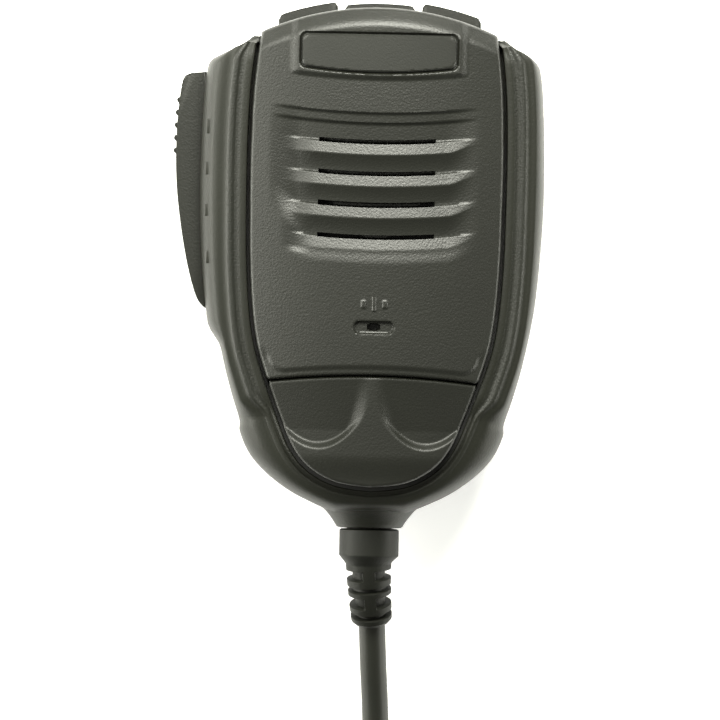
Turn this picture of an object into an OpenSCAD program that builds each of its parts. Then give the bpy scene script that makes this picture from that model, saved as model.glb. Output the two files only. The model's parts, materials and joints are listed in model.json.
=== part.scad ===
// Hand microphone of a mobile radio: a two-shell case with side rails, a crowned
// speaker panel, a talk lever on the left, three keys on top, and a cord with a
// round screw-lock plug.
// +Y runs up towards the keys, +Z comes out of the speaker grille, -X is the talk
// lever's side. The origin is the centre of the hang-up stud's free face, so the
// microphone lies on its back with the stud at z = 0.

/* [Body] */
// Width of the case across the two rails
body_w = 60; // [56:0.5:72]
// Length of the case from the neck to the upper edge of the panel
body_l = 90; // [84:0.5:108]
// Depth of the case from its back to the front of the rails
case_d = 27; // [26:0.5:33]
// Depth of the rear shell
rear_d = 10; // [9.5:0.5:12]
// Wall of the two shells
wall = 2; // [1.6:0.1:2.4]
// Extra width of the case where it holds the talk lever
lever_bulge = 1.6; // [0:0.1:2.5]
// Slope of the front towards the neck, in degrees
front_tilt = 3.5; // [2:0.1:4.5]

/* [Front panel] */
// Radius of the panel's crown across its width
crown_r = 75; // [65:1:100]
// Height of the panel's crown above the rails, at the top edge
crown_rise = 4.4; // [3.8:0.1:5.5]
// Skin of the panel
panel_skin = 2; // [1.6:0.1:2.4]
// Groove between the panel and the rails
panel_gap = 0.8; // [0.6:0.1:1]
// Clearance between two fixed pieces that fit into each other
fit_gap = 0.1; // [0.05:0.01:0.2]
// Distance of the seam between panel and chin cover above the neck
seam_up = 24.6; // [22:0.5:28]
// Number of slots in the grille
slot_n = 4; // [3:1:4]
// Length of a slot
slot_l = 20.8; // [16:0.2:24]
// Height of a slot
slot_h = 0.7; // [0.5:0.1:1]
// Distance from one slot to the next
slot_pitch = 5.6; // [5.2:0.1:6]
// Distance of the speaker's centre below the panel's upper edge
speaker_down = 32; // [31:0.5:34]
// Distance of the microphone hole above the neck
mic_up = 33.3; // [32:0.5:36]
// Width of the blank name plate
plate_w = 27.5; // [22:0.5:28]
// Height of the blank name plate
plate_h = 6.1; // [5:0.1:6.2]

/* [Talk lever] */
// Width of the lever along the case's depth
lever_w = 13; // [11:0.5:13.5]
// How far the lever stands out of the case
lever_out = 4.5; // [3:0.1:5.5]
// Diameter of the lever's pivot pin
pin_d = 2; // [1.6:0.1:2.4]

/* [Keys] */
// Width of the middle key
key_mid_w = 13.2; // [11:0.2:14]
// Width of each side key
key_side_w = 11.1; // [9:0.1:11.4]
// Gap between two keys
key_gap = 0.7; // [0.6:0.1:1]
// Size of the keys along the case's depth
key_z = 9; // [7:0.5:9.5]
// How far the side keys stand out of the case
key_out = 2.6; // [1.8:0.1:3.2]
// How far the middle key stands out of the case
key_mid_out = 1.9; // [1.2:0.1:2.4]

/* [Speaker and capsule] */
// Diameter of the speaker
speaker_d = 36; // [32:0.5:36]
// Diameter of the speaker's magnet
magnet_d = 19; // [14:0.5:20]
// Diameter of the microphone capsule
capsule_d = 6; // [4.5:0.1:7]

/* [Hang-up stud] */
// Height of the stud above the back
stud_h = 5; // [4:0.1:6]
// Diameter of the stud's head
stud_head_d = 12; // [10:0.5:14]
// Thickness of the stud's head
stud_head_t = 2.2; // [1.8:0.1:2.6]
// Diameter of the stud's neck
stud_neck_d = 6.5; // [5:0.1:7]

/* [Cord and plug] */
// Diameter of the cord
cord_d = 4.8; // [4:0.1:5]
// Diameter of the strain relief's collar
collar_d = 10.7; // [10:0.1:11.2]
// Diameter of the plug's coupling nut
nut_d = 18.8; // [17.5:0.1:19]
// Diameter of the plug's shell
plug_d = 15.4; // [14:0.1:15.6]

/* [Hidden] */
$fn = 72;
eps = 0.01;

// Levels along +Z
z_back = stud_h;
z_split = z_back + rear_d;
z_rail = z_back + case_d;
z_ledge = z_rail - 8;
ledge_t = 2;
z_crown = z_rail + crown_rise;
// Ends along +Y
y_top = body_l / 2;
y_neck = -body_l / 2;
seam_y = y_neck + seam_up;
speaker_y = y_top - speaker_down;
mic_y = y_neck + mic_up;
seat_z = front_z(speaker_y, 0) - panel_skin - 2.8;

// The outlines below are drawn for a case of 60 by 90 and stretched to its real size.
kx = body_w / 60;
ky = body_l / 90;
case_half = [[22.3, 39.8], [24.4, 38.2], [27.6, 36.6], [29.1, 33.6], [29.8, 24], [30, 12],
             [29.6, 2], [28.7, -8], [27, -17.2], [25.2, -24], [23.4, -29.2], [23.6, -31.2],
             [21.6, -34.8], [18.9, -38], [14.6, -41.2], [9.8, -43.6], [6.5, -44.9]];
panel_half = [[21, 40.4], [22.1, 31], [22.5, 21], [22.5, 10], [22.3, 0], [21.7, -8.6],
              [20.8, -14.6], [19.3, -19.8], [16.3, -28], [13.8, -33.6], [10.6, -37.2],
              [6, -39.5], [0, -40.3]];
lever_edge = [[-30.4, -8.8], [-31.8, -7], [-33.2, -2.6], [-34.4, 3], [-35.4, 9.5],
              [-35.9, 15], [-36, 20], [-35.8, 26], [-35.1, 31.8]];
steps = 2;

// A point between b and c on a smooth curve through a, b, c and d
function blend(a, b, c, d, t) =
    0.5 * (2 * b + (c - a) * t + (2 * a - 5 * b + 4 * c - d) * t * t
           + (3 * b - a - 3 * c + d) * t * t * t);
// An open smooth curve through the points
function smooth(p) = let (n = len(p)) concat(
    [for (i = [0:n - 2]) for (s = [0:steps - 1])
        blend(p[max(i - 1, 0)], p[i], p[i + 1], p[min(i + 2, n - 1)], s / steps)],
    [p[n - 1]]);
function ease(t) = let (c = min(max(t, 0), 1)) c * c * (3 - 2 * c);
function reversed(p) = [for (i = [len(p) - 1:-1:0]) p[i]];
function stretched(p) = [for (q = p) [q[0] * kx, q[1] * ky]];
function unit(v) = v / norm(v);
// A closed clockwise outline moved inwards by d, or outwards where d is negative
function inset(p, d) = let (n = len(p)) [for (i = [0:n - 1])
    let (t = unit(p[(i + 1) % n] - p[(i + n - 1) % n])) p[i] + d * [t[1], -t[0]]];

// Height of the panel's crowned front at a place
function front_z(y, x) = z_crown - (y_top - y) * tan(front_tilt)
    - (crown_r - sqrt(crown_r * crown_r - x * x)) / cos(front_tilt);
// Extra half width on the lever's side
function bulge(y) = lever_bulge * ease((y / ky + 16) / 4.5) * ease((37.4 - y / ky) / 2.4);

// Arc of the top wall and of the panel's upper edge
top_r = 51.6;
wall_top = y_top - 0.6;
function arc_y(x, top) = top - top_r + sqrt(top_r * top_r - x * x);

case_right = smooth(stretched(case_half));
case_left = [for (q = reversed(case_right)) [-q[0] - bulge(q[1]), q[1]]];
case_arc = [for (i = [-4:4]) [i * 5 * kx, arc_y(i * 5 * kx, wall_top)]];
case_outline = concat(case_right, case_left, case_arc);

panel_right = smooth(stretched(panel_half));
panel_left = [for (i = [len(panel_right) - 2:-1:0]) [-panel_right[i][0], panel_right[i][1]]];
panel_arc = [for (i = [-6:6]) [i * 3 * kx, arc_y(i * 3 * kx, y_top)]];
panel_outline = concat(panel_right, panel_left, panel_arc);

// Fasteners: thread, head, head height
screw_d = 2.4;
head_d = 4.4;
head_t = 1.6;
case_screw_at = [[20.5 * kx, y_top - 14.5], [-20.5 * kx, y_top - 14.5],
                 [13.6 * kx, y_neck + 14.6], [-13.6 * kx, y_neck + 14.6]];
case_screw_l = 13;
panel_screw_at = [[11.5 * kx, y_top - 9.6], [-11.5 * kx, y_top - 9.6],
                  [17.4 * kx, mic_y + 3], [-17.4 * kx, mic_y + 3]];
chin_screw_at = [[6 * kx, y_neck + 12.4], [-6 * kx, y_neck + 12.4]];
small_d = 1.8;
small_head_d = 3.4;
small_head_t = 1.1;
small_l = 6;
boss_d = 6.4;

// Main board
board_t = 1.6;
board_z = z_back + 7.4;
board_w = 41;
board_top = y_top - 18.6;
board_bottom = y_neck + 20.4;
board_screw_at = [[16.5, board_top - 4], [-12, board_top - 4],
                  [14.5, board_bottom + 3.4], [-14.5, board_bottom + 3.4]];

// Talk lever: pivot near its lower end, nub that works the switch
lever_z = z_split - lever_w / 2 + 0.5;
pivot = [-26.4 * kx, -5 * ky];
nub_y = 18 * ky;
lever_gap = 0.4;
switch_x = -board_w / 2;
plunger_out = 1.7;
opening_y = [-9.7 * ky, 34.4 * ky];

// Keys on the top wall, as [centre, width, how far it stands out]
key_side_x = key_mid_w / 2 + key_gap + key_side_w / 2;
keys = [[-key_side_x, key_side_w, key_out], [0, key_mid_w, key_mid_out],
        [key_side_x, key_side_w, key_out]];
key_z0 = z_split - 3.2;
key_play = 0.25;
key_flange = 1;
key_board_y = y_top - 11.6;
tact_h = 3;

// Neck and strain relief
neck_r = 7.1;
neck_end_r = 5.7;
neck_l = 2.7;
neck_z = z_split;
stem_r = 4;
collar_l = 6;

// Cord: its route from the strain relief's tip to the coil, and from the coil to the plug
cord_r = cord_d / 2;
tip = [0.8, y_neck - 19.6, neck_z - 3.4];
route_in = [tip, [1.2, -72, 9], [1.7, -80, 6.3], [2, -88, 4.2], [1.9, -96, 3], [1.5, -103, 2.5],
            [0.9, -110, 2.6], [0.3, -118, 3]];
route_out = [[-19, -96.1, 8], [-12, -96, 8.4], [-5, -95.9, 8.9], [2, -96.2, 9.1], [9, -97.6, 9],
             [15.5, -100.8, 8.9], [20.6, -105.8, 8.9], [23.8, -112, 9.1], [25.1, -118, 9.4],
             [25.4, -124, 9.4], [25.4, -131, 9.4], [25.4, -138, 9.4]];
entry_y = y_neck - neck_l - collar_l;
route_entry = [[0, entry_y + 2, neck_z], [0, entry_y - 0.4, neck_z - 0.1],
               [0.15, entry_y - 3.4, neck_z - 0.65], [0.45, entry_y - 7.2, neck_z - 1.8], tip];
coil_at = [-34.8, -131];
coil_turns = 4;
coil_layers = 2;
coil_r = 27.6;
tie_t = 0.8;
tie_w = 9;

// Plug, along -Y from the cord's end
plug_at = [25.4, -122, nut_d / 2];
boot_l = 12;
clamp_l = 9;
shell_l = 15;
nut_l = 16;
nut_gap = 0.15;
insert_l = 9;

// ---------- shared shapes ----------

module prism(points, z0, z1) {
    translate([0, 0, z0]) linear_extrude(z1 - z0) polygon(points);
}

// A block between two corners
module block(a, b) {
    translate(a) cube(b - a);
}

// Space under the panel's crowned front, moved out by h
module crown_space(h = 0) {
    translate([0, y_top, z_crown]) rotate([front_tilt, 0, 0]) translate([0, 0, -crown_r])
        rotate([90, 0, 0]) cylinder(r = crown_r + h, h = 3 * body_l, center = true, $fn = 180);
}

// Space under the rails' sloping front
module rail_space() {
    translate([0, y_top, z_rail]) rotate([front_tilt, 0, 0])
        translate([-body_w, -2 * body_l, -60]) cube([2 * body_w, 3 * body_l, 60]);
}

// Cross-section of the case across its width, moved inwards by d
module width_space(d) {
    h = body_w / 2 + lever_bulge + 0.1;
    half = [[h - 7 + d / 3, z_rail + 1], [h - 4.6 - d, z_rail - 1.2], [h - 2.4 - d, z_rail - 3.4],
            [h - 0.8 - d, z_rail - 7], [h - d, z_rail - 12], [h - d, z_back + 8],
            [h - 1.2 - d, z_back + 4 + d / 2], [h - 3.6 - d, z_back + 1.4 + d],
            [h - 7.5 - d / 2, z_back + d]];
    translate([0, 2 * body_l, 0]) rotate([90, 0, 0]) linear_extrude(4 * body_l)
        polygon(concat(half, [for (q = reversed(half)) [-q[0], q[1]]]));
}

// Cross-section of the case along its length, moved inwards by d
module length_space(d) {
    profile = [[y_neck + d, z_rail + 9], [y_neck + d, z_back + 9], [y_neck + 3 + d, z_back + 4 + d / 2],
               [y_neck + 8 + d, z_back + 1.2 + d], [y_neck + 14 + d, z_back + d],
               [y_top - 11 - d, z_back + d], [y_top - 4.6 - d, z_back + 1.4 + d],
               [y_top - 1.6 - d, z_back + 4.4 + d / 2], [y_top + 2 - d, z_back + 9],
               [y_top + 2 - d, z_rail + 9]];
    rotate([90, 0, 90]) linear_extrude(4 * body_w, center = true) polygon(profile);
}

// The case as a full block between two levels, moved inwards by d
module case_space(d, z0, z1) {
    intersection() {
        prism(inset(case_outline, d), z0, z1);
        width_space(d);
        length_space(d);
    }
}

// Round neck that the strain relief leaves by
module neck() {
    translate([0, y_neck + 1.4, neck_z]) rotate([90, 0, 0])
        cylinder(r1 = neck_r, r2 = neck_end_r, h = neck_l + 1.4);
}

// Bore for the strain relief's stem, with a pocket for the flange behind it
module neck_bore() {
    translate([0, y_neck + 6, neck_z]) rotate([90, 0, 0])
        cylinder(r = stem_r + fit_gap / 2, h = neck_l + 12);
    translate([0, y_neck + 4.65, neck_z]) rotate([90, 0, 0]) cylinder(r = 5.25, h = 2);
}

// Opening in the side of the case for the talk lever
module lever_opening() {
    block([-body_w, opening_y[0], lever_z - lever_gap],
          [pivot[0] + 4.6, opening_y[1], lever_z + lever_w + lever_gap]);
}

module key_windows() {
    for (k = keys)
        block([k[0] - k[1] / 2, y_top - 9, key_z0 - key_play],
              [k[0] + k[1] / 2, y_top + 3, key_z0 + key_z + key_play]);
}

module screw(d, l, hd, ht) {
    cylinder(d = d, h = l);
    difference() {
        translate([0, 0, -ht]) cylinder(d = hd, h = ht);
        translate([0, 0, -ht - eps]) cylinder(d = hd * 0.5, h = ht * 0.5, $fn = 6);
    }
}

// ---------- shells ----------

module rear_case() {
    post_h = board_z - z_back - wall;
    color("#33342f") difference() {
        union() {
            difference() {
                union() {
                    case_space(0, z_back, z_split);
                    intersection() {
                        neck();
                        block([-20, y_neck - 20, 0], [20, y_neck + 5, z_split]);
                    }
                }
                case_space(wall, z_back + wall, z_split + 1);
                lever_opening();
                key_windows();
            }
            for (p = case_screw_at)
                translate([p[0], p[1], z_back + 0.5]) cylinder(d = boss_d, h = rear_d - 0.5);
            for (p = board_screw_at)
                translate([p[0], p[1], z_back + 1]) cylinder(d = 5, h = post_h + wall - 1);
            // socket of the hang-up stud's screw
            translate([0, 0, z_back + 1]) cylinder(d = 9, h = 5);
            // posts of the cord clamp
            for (s = [-1, 1])
                translate([s * 6.4, y_neck + 10, z_back + 1]) cylinder(d = 4.4, h = 7.4);
            // slotted posts that hold the key board
            for (s = [-1, 1])
                block([s * 13.4 - 2, key_board_y - 1.4, z_back + 1],
                      [s * 13.4 + 2, key_board_y + board_t + 1.4, z_split - 3.2]);
            // foot of the lever's pin
            translate([pivot[0], pivot[1], z_back + 1])
                cylinder(d = 5, h = lever_z - lever_gap - z_back - 1);
        }
        for (p = case_screw_at) {
            translate([p[0], p[1], 0]) cylinder(d = screw_d + 0.4, h = 30);
            translate([p[0], p[1], 0]) cylinder(d = head_d + 0.4, h = z_back + 2.4);
        }
        for (p = board_screw_at)
            translate([p[0], p[1], board_z + board_t - small_l]) cylinder(d = small_d, h = 9);
        for (s = [-1, 1])
            translate([s * 6.4, y_neck + 10, z_back + 3]) cylinder(d = small_d, h = 9);
        translate([0, 0, -1]) cylinder(d = 3, h = 20);
        translate([pivot[0], pivot[1], lever_z - lever_gap - 1.6]) cylinder(d = pin_d, h = 4);
        block([-17, key_board_y - 0.05, z_back + 3.8],
              [17, key_board_y + board_t + 0.05, z_split]);
        neck_bore();
    }
}

module front_case() {
    color("#3b3c37") difference() {
        union() {
            difference() {
                union() {
                    intersection() {
                        case_space(0, z_split, z_rail + 1);
                        rail_space();
                    }
                    intersection() {
                        neck();
                        block([-20, y_neck - 20, z_split], [20, y_neck + 5, z_split + 20]);
                    }
                }
                case_space(wall, z_split - 1, z_ledge - ledge_t);
                prism(inset(panel_outline, -panel_gap), z_ledge, z_rail + 20);
                // opening in the ledge that carries the panel
                translate([0, 0, z_ledge - 4]) linear_extrude(8) intersection() {
                    polygon(inset(panel_outline, 5.6));
                    translate([-body_w, y_neck + 18.4]) square([2 * body_w, body_l - 31.8]);
                }
                translate([0, speaker_y, z_ledge - 4]) cylinder(d = speaker_d + 1, h = 8);
                lever_opening();
                key_windows();
            }
            for (p = case_screw_at)
                translate([p[0], p[1], z_split]) cylinder(d = boss_d, h = z_ledge - z_split - 0.5);
            // head of the lever's pin
            translate([pivot[0], pivot[1], lever_z + lever_w + lever_gap])
                cylinder(d = 5, h = z_ledge - lever_z - lever_w - lever_gap - 0.5);
        }
        for (p = case_screw_at)
            translate([p[0], p[1], z_split - 1]) cylinder(d = screw_d, h = case_screw_l - rear_d + 4);
        for (p = concat(panel_screw_at, chin_screw_at))
            translate([p[0], p[1], z_ledge - 4]) cylinder(d = small_d + 0.4, h = 8);
        translate([pivot[0], pivot[1], lever_z + lever_w]) cylinder(d = pin_d, h = 1.9);
        neck_bore();
        // finger groove along the right side
        translate([body_w / 2 + 2.2, 0, z_split + 8.5]) rotate([90, 0, 0])
            cylinder(r = 3, h = 60 * ky, center = true);
    }
}

// ---------- front ----------

// Teeth of the grille: the stock that is cut away above the louvres
module louvre_cut() {
    top = y_top - 18.6;
    first = y_top - 23.9;
    teeth = [for (i = [0:slot_n - 1]) let (y = first - i * slot_pitch)
        each [[crown_r - 1.3, y], [crown_r - 1.3, y - 0.4], [crown_r + 0.1, y - 2.8],
              [crown_r + 0.1, y - 3]]];
    low = first - slot_n * slot_pitch + 1.6;
    edge = concat([[crown_r + 0.1, top], [crown_r - 1, top - 1.8]], teeth,
                  [[crown_r - 0.1, low], [crown_r + 4, low], [crown_r + 4, top]]);
    translate([0, y_top, z_crown]) rotate([front_tilt, 0, 0]) translate([0, -y_top, -crown_r])
        rotate([-90, 0, 0]) rotate([0, 0, -104]) rotate_extrude(angle = 28) polygon(edge);
}

// One slot, an arc that hangs down in its middle
module slot(y) {
    r = 130;
    intersection() {
        translate([0, y + r, 0]) difference() {
            cylinder(r = r + slot_h / 2, h = 80, $fn = 180);
            translate([0, 0, -1]) cylinder(r = r - slot_h / 2, h = 82, $fn = 180);
        }
        block([-slot_l / 2, y - 4, z_ledge], [slot_l / 2, y + 4, z_crown + 2]);
    }
}

// Half of the front above or below the seam, as a full block
module front_block(upper) {
    seam_r = 150;
    gap = upper ? fit_gap : -fit_gap;
    difference() {
        intersection() {
            prism(panel_outline, z_ledge, z_crown + 4);
            crown_space();
            if (!upper)
                translate([0, seam_y - seam_r, 0]) cylinder(r = seam_r + gap, h = 80, $fn = 180);
        }
        if (upper)
            translate([0, seam_y - seam_r, -1]) cylinder(r = seam_r + gap, h = 82, $fn = 180);
    }
}

module plate_shape(grow) {
    sag_r = 94;
    top = y_top - 4.9 + grow;
    intersection() {
        translate([-plate_w / 2 - grow, top - plate_h - 2]) square([plate_w + 2 * grow, plate_h + 2]);
        translate([0, top - plate_h - 0.9 - 2 * grow + sag_r]) circle(r = sag_r, $fn = 180);
    }
}

module front_panel() {
    color("#4a4a43") difference() {
        union() {
            difference() {
                front_block(true);
                intersection() {
                    prism(inset(panel_outline, 1.8), z_ledge - 1, z_crown + 4);
                    crown_space(-panel_skin);
                }
            }
            // raised surround of the name plate
            intersection() {
                block([-15.2 * kx, y_top - 12.2, z_ledge + 6], [15.2 * kx, y_top, z_crown + 3]);
                prism(panel_outline, z_ledge, z_crown + 4);
                crown_space(0.8);
                translate([0, 0, 0]) difference() {
                    crown_space(3);
                    crown_space(-panel_skin + 0.2);
                }
            }
            intersection() {
                crown_space(-1);
                union() {
                    // seat of the speaker
                    translate([0, speaker_y, seat_z]) difference() {
                        cylinder(d = speaker_d + 1.6, h = 20);
                        translate([0, 0, -1]) cylinder(d = speaker_d - 4, h = 22);
                    }
                    // seat of the capsule's boot
                    translate([0, mic_y, z_ledge + 1]) difference() {
                        cylinder(d = capsule_d + 5.4, h = 20);
                        translate([0, 0, -1]) cylinder(d = capsule_d + 2.8 + fit_gap, h = 22);
                    }
                    for (p = panel_screw_at)
                        translate([p[0], p[1], z_ledge]) cylinder(d = 4.6, h = 20);
                }
            }
        }
        difference() {
            louvre_cut();
            block([-40, -80, 0], [-18.4, 80, 60]);
        }
        for (i = [0:slot_n - 1])
            slot(y_top - 24 - i * slot_pitch);
        for (p = panel_screw_at)
            translate([p[0], p[1], z_ledge - 1]) cylinder(d = small_d, h = small_l - ledge_t + 1.4);
        // pocket of the name plate
        intersection() {
            translate([0, 0, z_ledge]) linear_extrude(30) plate_shape(fit_gap);
            difference() {
                crown_space(5);
                crown_space(-0.2);
            }
        }
        // recess and hole of the microphone
        for (s = [-1, 1])
            translate([s * 2.4, mic_y, front_z(mic_y, 0) - 0.9]) cylinder(r = 1.25, h = 4);
        block([-2.4, mic_y - 1.25, front_z(mic_y, 0) - 0.9], [2.4, mic_y + 1.25, z_crown]);
        translate([0, mic_y, z_ledge + 3]) cylinder(d = 1.5, h = 20);
    }
}

module chin_cover() {
    color("#454640") difference() {
        union() {
            difference() {
                front_block(false);
                intersection() {
                    prism(inset(panel_outline, 1.8), z_ledge - 1, z_crown + 4);
                    crown_space(-panel_skin - 1.6);
                }
            }
            intersection() {
                crown_space(-2.6);
                for (p = chin_screw_at)
                    translate([p[0], p[1], z_ledge]) cylinder(d = 4.6, h = 20);
            }
        }
        // two shallow scoops beside the middle ridge
        for (s = [-1, 1])
            translate([s * 12.4 * kx, y_neck + 17, front_z(y_neck + 17, 9) + 17.6])
                sphere(r = 19, $fn = 96);
        for (p = chin_screw_at)
            translate([p[0], p[1], z_ledge - 1]) cylinder(d = small_d, h = small_l - ledge_t + 1.4);
    }
}

module nameplate() {
    color("#2c2d2a") intersection() {
        translate([0, 0, z_ledge]) linear_extrude(30) plate_shape(0);
        difference() {
            crown_space(0.5);
            crown_space(-0.15);
        }
    }
}

// Rubber strip in the groove between the panel and the rails
module panel_seal() {
    inner = inset(panel_outline, -fit_gap);
    outer = inset(panel_outline, fit_gap - panel_gap);
    color("#141412") difference() {
        prism(outer, z_ledge, z_ledge + 2.6);
        prism(inner, z_ledge - 1, z_ledge + 4);
        block([-body_w, y_top - 6.6, 0], [body_w, y_top + 9, 60]);
    }
}

// ---------- talk lever ----------

module talk_lever() {
    out = lever_out - 4.5;
    edge = [for (q = smooth(stretched(lever_edge))) [q[0] - out * ease((q[1] + 8) / 12), q[1]]];
    body = concat(edge, stretched([[-31, 33.4], [-28.8, 33.6], [-28.6, 12], [-27.6, 1],
                                   [-24.4, -2], [-24.2, -7], [-27, -8.6]]));
    color("#35362f") difference() {
        union() {
            prism(body, lever_z, lever_z + lever_w);
            block([-29 * kx, nub_y - 2.4, z_split + 0.4],
                  [switch_x - plunger_out - 0.15, nub_y + 2.4, z_split + 4.4]);
            for (i = [0:4])
                translate([edge[12][0] + 0.15, (15 + i * 2.3) * ky + 3.4, lever_z + 1.5])
                    cylinder(d = 0.9, h = lever_w - 3);
        }
        translate([pivot[0], pivot[1], lever_z - 1]) cylinder(d = pin_d + 0.1, h = lever_w + 2);
        // room for the spring on the pin
        translate([pivot[0], pivot[1], lever_z + 3]) cylinder(d = 5.8, h = lever_w - 6);
        block([pivot[0] - 3, pivot[1] - 9, lever_z + 3],
              [pivot[0] + 9, pivot[1] + 7, lever_z + lever_w - 3]);
    }
}

module lever_pin() {
    color("silver") translate([pivot[0], pivot[1], lever_z - lever_gap - 1.6])
        cylinder(d = pin_d, h = lever_w + 2 * lever_gap + 3);
}

// Torsion spring round the pin, with one leg along the lever
module lever_spring() {
    wire = 0.6;
    r = pin_d / 2 + wire / 2 + 0.15;
    color("silver") translate([pivot[0], pivot[1], lever_z + 3.4]) {
        rotate_extrude() for (i = [0:7])
            translate([r, wire / 2 + i * wire * 0.92]) circle(d = wire, $fn = 16);
        translate([-r - 0.35, 0, 0.02]) cube([0.7, 5.4, 0.7]);
    }
}

module lever_switch() {
    color("#222222") difference() {
        block([switch_x, nub_y - 6.4, board_z + board_t],
              [switch_x + 5.8, nub_y + 6.4, board_z + board_t + 6.4]);
        block([switch_x - 1, nub_y - 1.8, z_split + 0.6],
              [switch_x + 2.2, nub_y + 1.8, z_split + 4.2]);
    }
}

module switch_plunger() {
    color("#d8d4c8") block([switch_x - plunger_out, nub_y - 1.5, z_split + 0.9],
                           [switch_x + 0.4, nub_y + 1.5, z_split + 3.9]);
}

// ---------- keys ----------

// One key: a cap that follows the top wall's arc, with a flange behind the wall
module key(k) {
    c = [0, wall_top - top_r];
    inner = top_r - wall - 0.2;
    z0 = key_z0;
    z1 = key_z0 + key_z;
    foot = key_board_y + board_t + tact_h + 0.8;
    intersection() {
        translate([c[0], c[1], z0 - 2]) difference() {
            cylinder(r = top_r + k[2], h = key_z + 4, $fn = 180);
            translate([0, 0, -1]) cylinder(r = inner - key_flange, h = key_z + 6, $fn = 180);
        }
        union() {
            block([k[0] - k[1] / 2 + key_play, 0, z0], [k[0] + k[1] / 2 - key_play, y_top + 9, z1]);
            intersection() {
                block([k[0] - k[1] / 2 + key_play, 0, z0 - 0.6],
                      [k[0] + k[1] / 2 - key_play, y_top + 9, z1 + 0.6]);
                translate([c[0], c[1], 0]) cylinder(r = inner, h = 60, $fn = 180);
            }
        }
    }
    difference() {
        block([k[0] - 1.6, foot, z_split - 1.1], [k[0] + 1.6, y_top - 2, z_split + 2.1]);
        translate([c[0], c[1], -1]) difference() {
            cylinder(r = 2 * top_r, h = 80);
            translate([0, 0, -1]) cylinder(r = inner - key_flange + 0.1, h = 82, $fn = 180);
        }
    }
}

module left_key() { color("#2b2c28") key(keys[0]); }
module middle_key() { color("#2b2c28") key(keys[1]); }
module right_key() { color("#2b2c28") key(keys[2]); }

module key_board() {
    color("darkgreen") block([-16.6, key_board_y, z_back + 3.8],
                             [16.6, key_board_y + board_t, z_ledge - ledge_t - 2]);
}

module key_switches() {
    y = key_board_y + board_t;
    color("#1e1e1e") for (k = keys) {
        block([k[0] - 3, y, z_split - 2.5], [k[0] + 3, y + tact_h - 0.6, z_split + 3.5]);
        translate([k[0], y + tact_h - 0.7, z_split + 0.5]) rotate([-90, 0, 0])
            cylinder(d = 3, h = 0.7);
    }
}

module key_header() {
    color("gold") for (i = [-2:2])
        block([i * 2 - 0.3, board_top - 1.6, board_z + board_t],
              [i * 2 + 0.3, key_board_y, board_z + board_t + 0.6]);
}

// ---------- electronics ----------

module main_board() {
    color("darkgreen") difference() {
        block([-board_w / 2, board_bottom, board_z], [board_w / 2, board_top, board_z + board_t]);
        for (p = board_screw_at)
            translate([p[0], p[1], 0]) cylinder(d = small_d + 0.3, h = 40);
    }
}

module board_parts() {
    z = board_z + board_t;
    color("#1b1b1b") {
        block([-4, -16, z], [4, -8, z + 1.4]);
        block([8, -8, z], [13, -3, z + 1.2]);
        block([-12, -6, z], [-8, -2, z + 1]);
        for (x = [-12, -9, 9, 12])
            translate([x, 1, z]) cylinder(d = 2.6, h = 3);
        for (i = [0:5])
            block([-10 + i * 3.4, -20.6, z], [-8.4 + i * 3.4, -19.8, z + 0.6]);
    }
}

// Connector that the cord's wires plug into
module wire_header() {
    z = board_z + board_t;
    color("ivory") difference() {
        block([-6.5, board_bottom + 0.4, z], [6.5, board_bottom + 3.2, z + 4.4]);
        for (i = [-2.5:2.5])
            block([i * 2 - 0.6, board_bottom - 0.4, z + 1.2], [i * 2 + 0.6, board_bottom + 2, z + 3]);
    }
}

module speaker_frame() {
    r = speaker_d / 2;
    z = seat_z - 0.8;
    profile = [[r - 3, z], [r, z], [r, z - 1], [r - 1.6, z - 1.4], [magnet_d / 2 + 2, z - 5.6],
               [magnet_d / 2 + 2, z - 6.2], [0, z - 6.2], [0, z - 5.4], [magnet_d / 2 + 0.6, z - 5.4],
               [r - 3, z - 1.6]];
    color("#8a8d90") translate([0, speaker_y, 0]) rotate_extrude() polygon(profile);
}

module speaker_cone() {
    r = speaker_d / 2 - 3.1;
    z = seat_z - 0.8;
    profile = [[0, z - 3.2], [4, z - 3.9], [5.2, z - 4.6], [r - 2.4, z - 1], [r - 1.2, z - 0.5],
               [r, z - 0.9], [r, z - 1.3], [r - 1.2, z - 0.9], [r - 2.4, z - 1.4], [5.2, z - 5.1],
               [4, z - 4.4], [0, z - 3.7]];
    color("#2a2622") translate([0, speaker_y, 0]) rotate_extrude() polygon(profile);
}

module speaker_magnet() {
    color("#5b5e61") translate([0, speaker_y, seat_z - 10.4]) cylinder(d = magnet_d, h = 3.4);
}

module speaker_gasket() {
    color("#101010") translate([0, speaker_y, seat_z - 0.8]) difference() {
        cylinder(d = speaker_d, h = 0.8);
        translate([0, 0, -1]) cylinder(d = speaker_d - 5.6, h = 3);
    }
}

// Dust cloth stretched across the speaker's seat
module grille_cloth() {
    color("#0c0c0c") translate([0, speaker_y, seat_z + 0.1]) cylinder(d = speaker_d - 4.2, h = 0.3);
}

module mic_capsule() {
    color("silver") translate([0, mic_y, z_ledge + 1.4]) cylinder(d = capsule_d, h = 4.4);
}

module capsule_boot() {
    top = front_z(mic_y, 0) - panel_skin - 0.8;
    color("#1a1a1a") translate([0, mic_y, z_ledge + 1.4]) difference() {
        cylinder(d = capsule_d + 2.8, h = top - z_ledge - 1.4);
        translate([0, 0, -1]) cylinder(d = capsule_d, h = 5.4);
        cylinder(d = 2, h = 20);
    }
}

// ---------- stud and screws ----------

module hang_stud() {
    color("silver") difference() {
        union() {
            cylinder(d = stud_head_d, h = stud_head_t);
            cylinder(d = stud_neck_d, h = stud_h);
        }
        translate([0, 0, -1]) cylinder(d = 3, h = 20);
        translate([0, 0, -1]) cylinder(d = 6, h = 2.2);
    }
}

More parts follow.
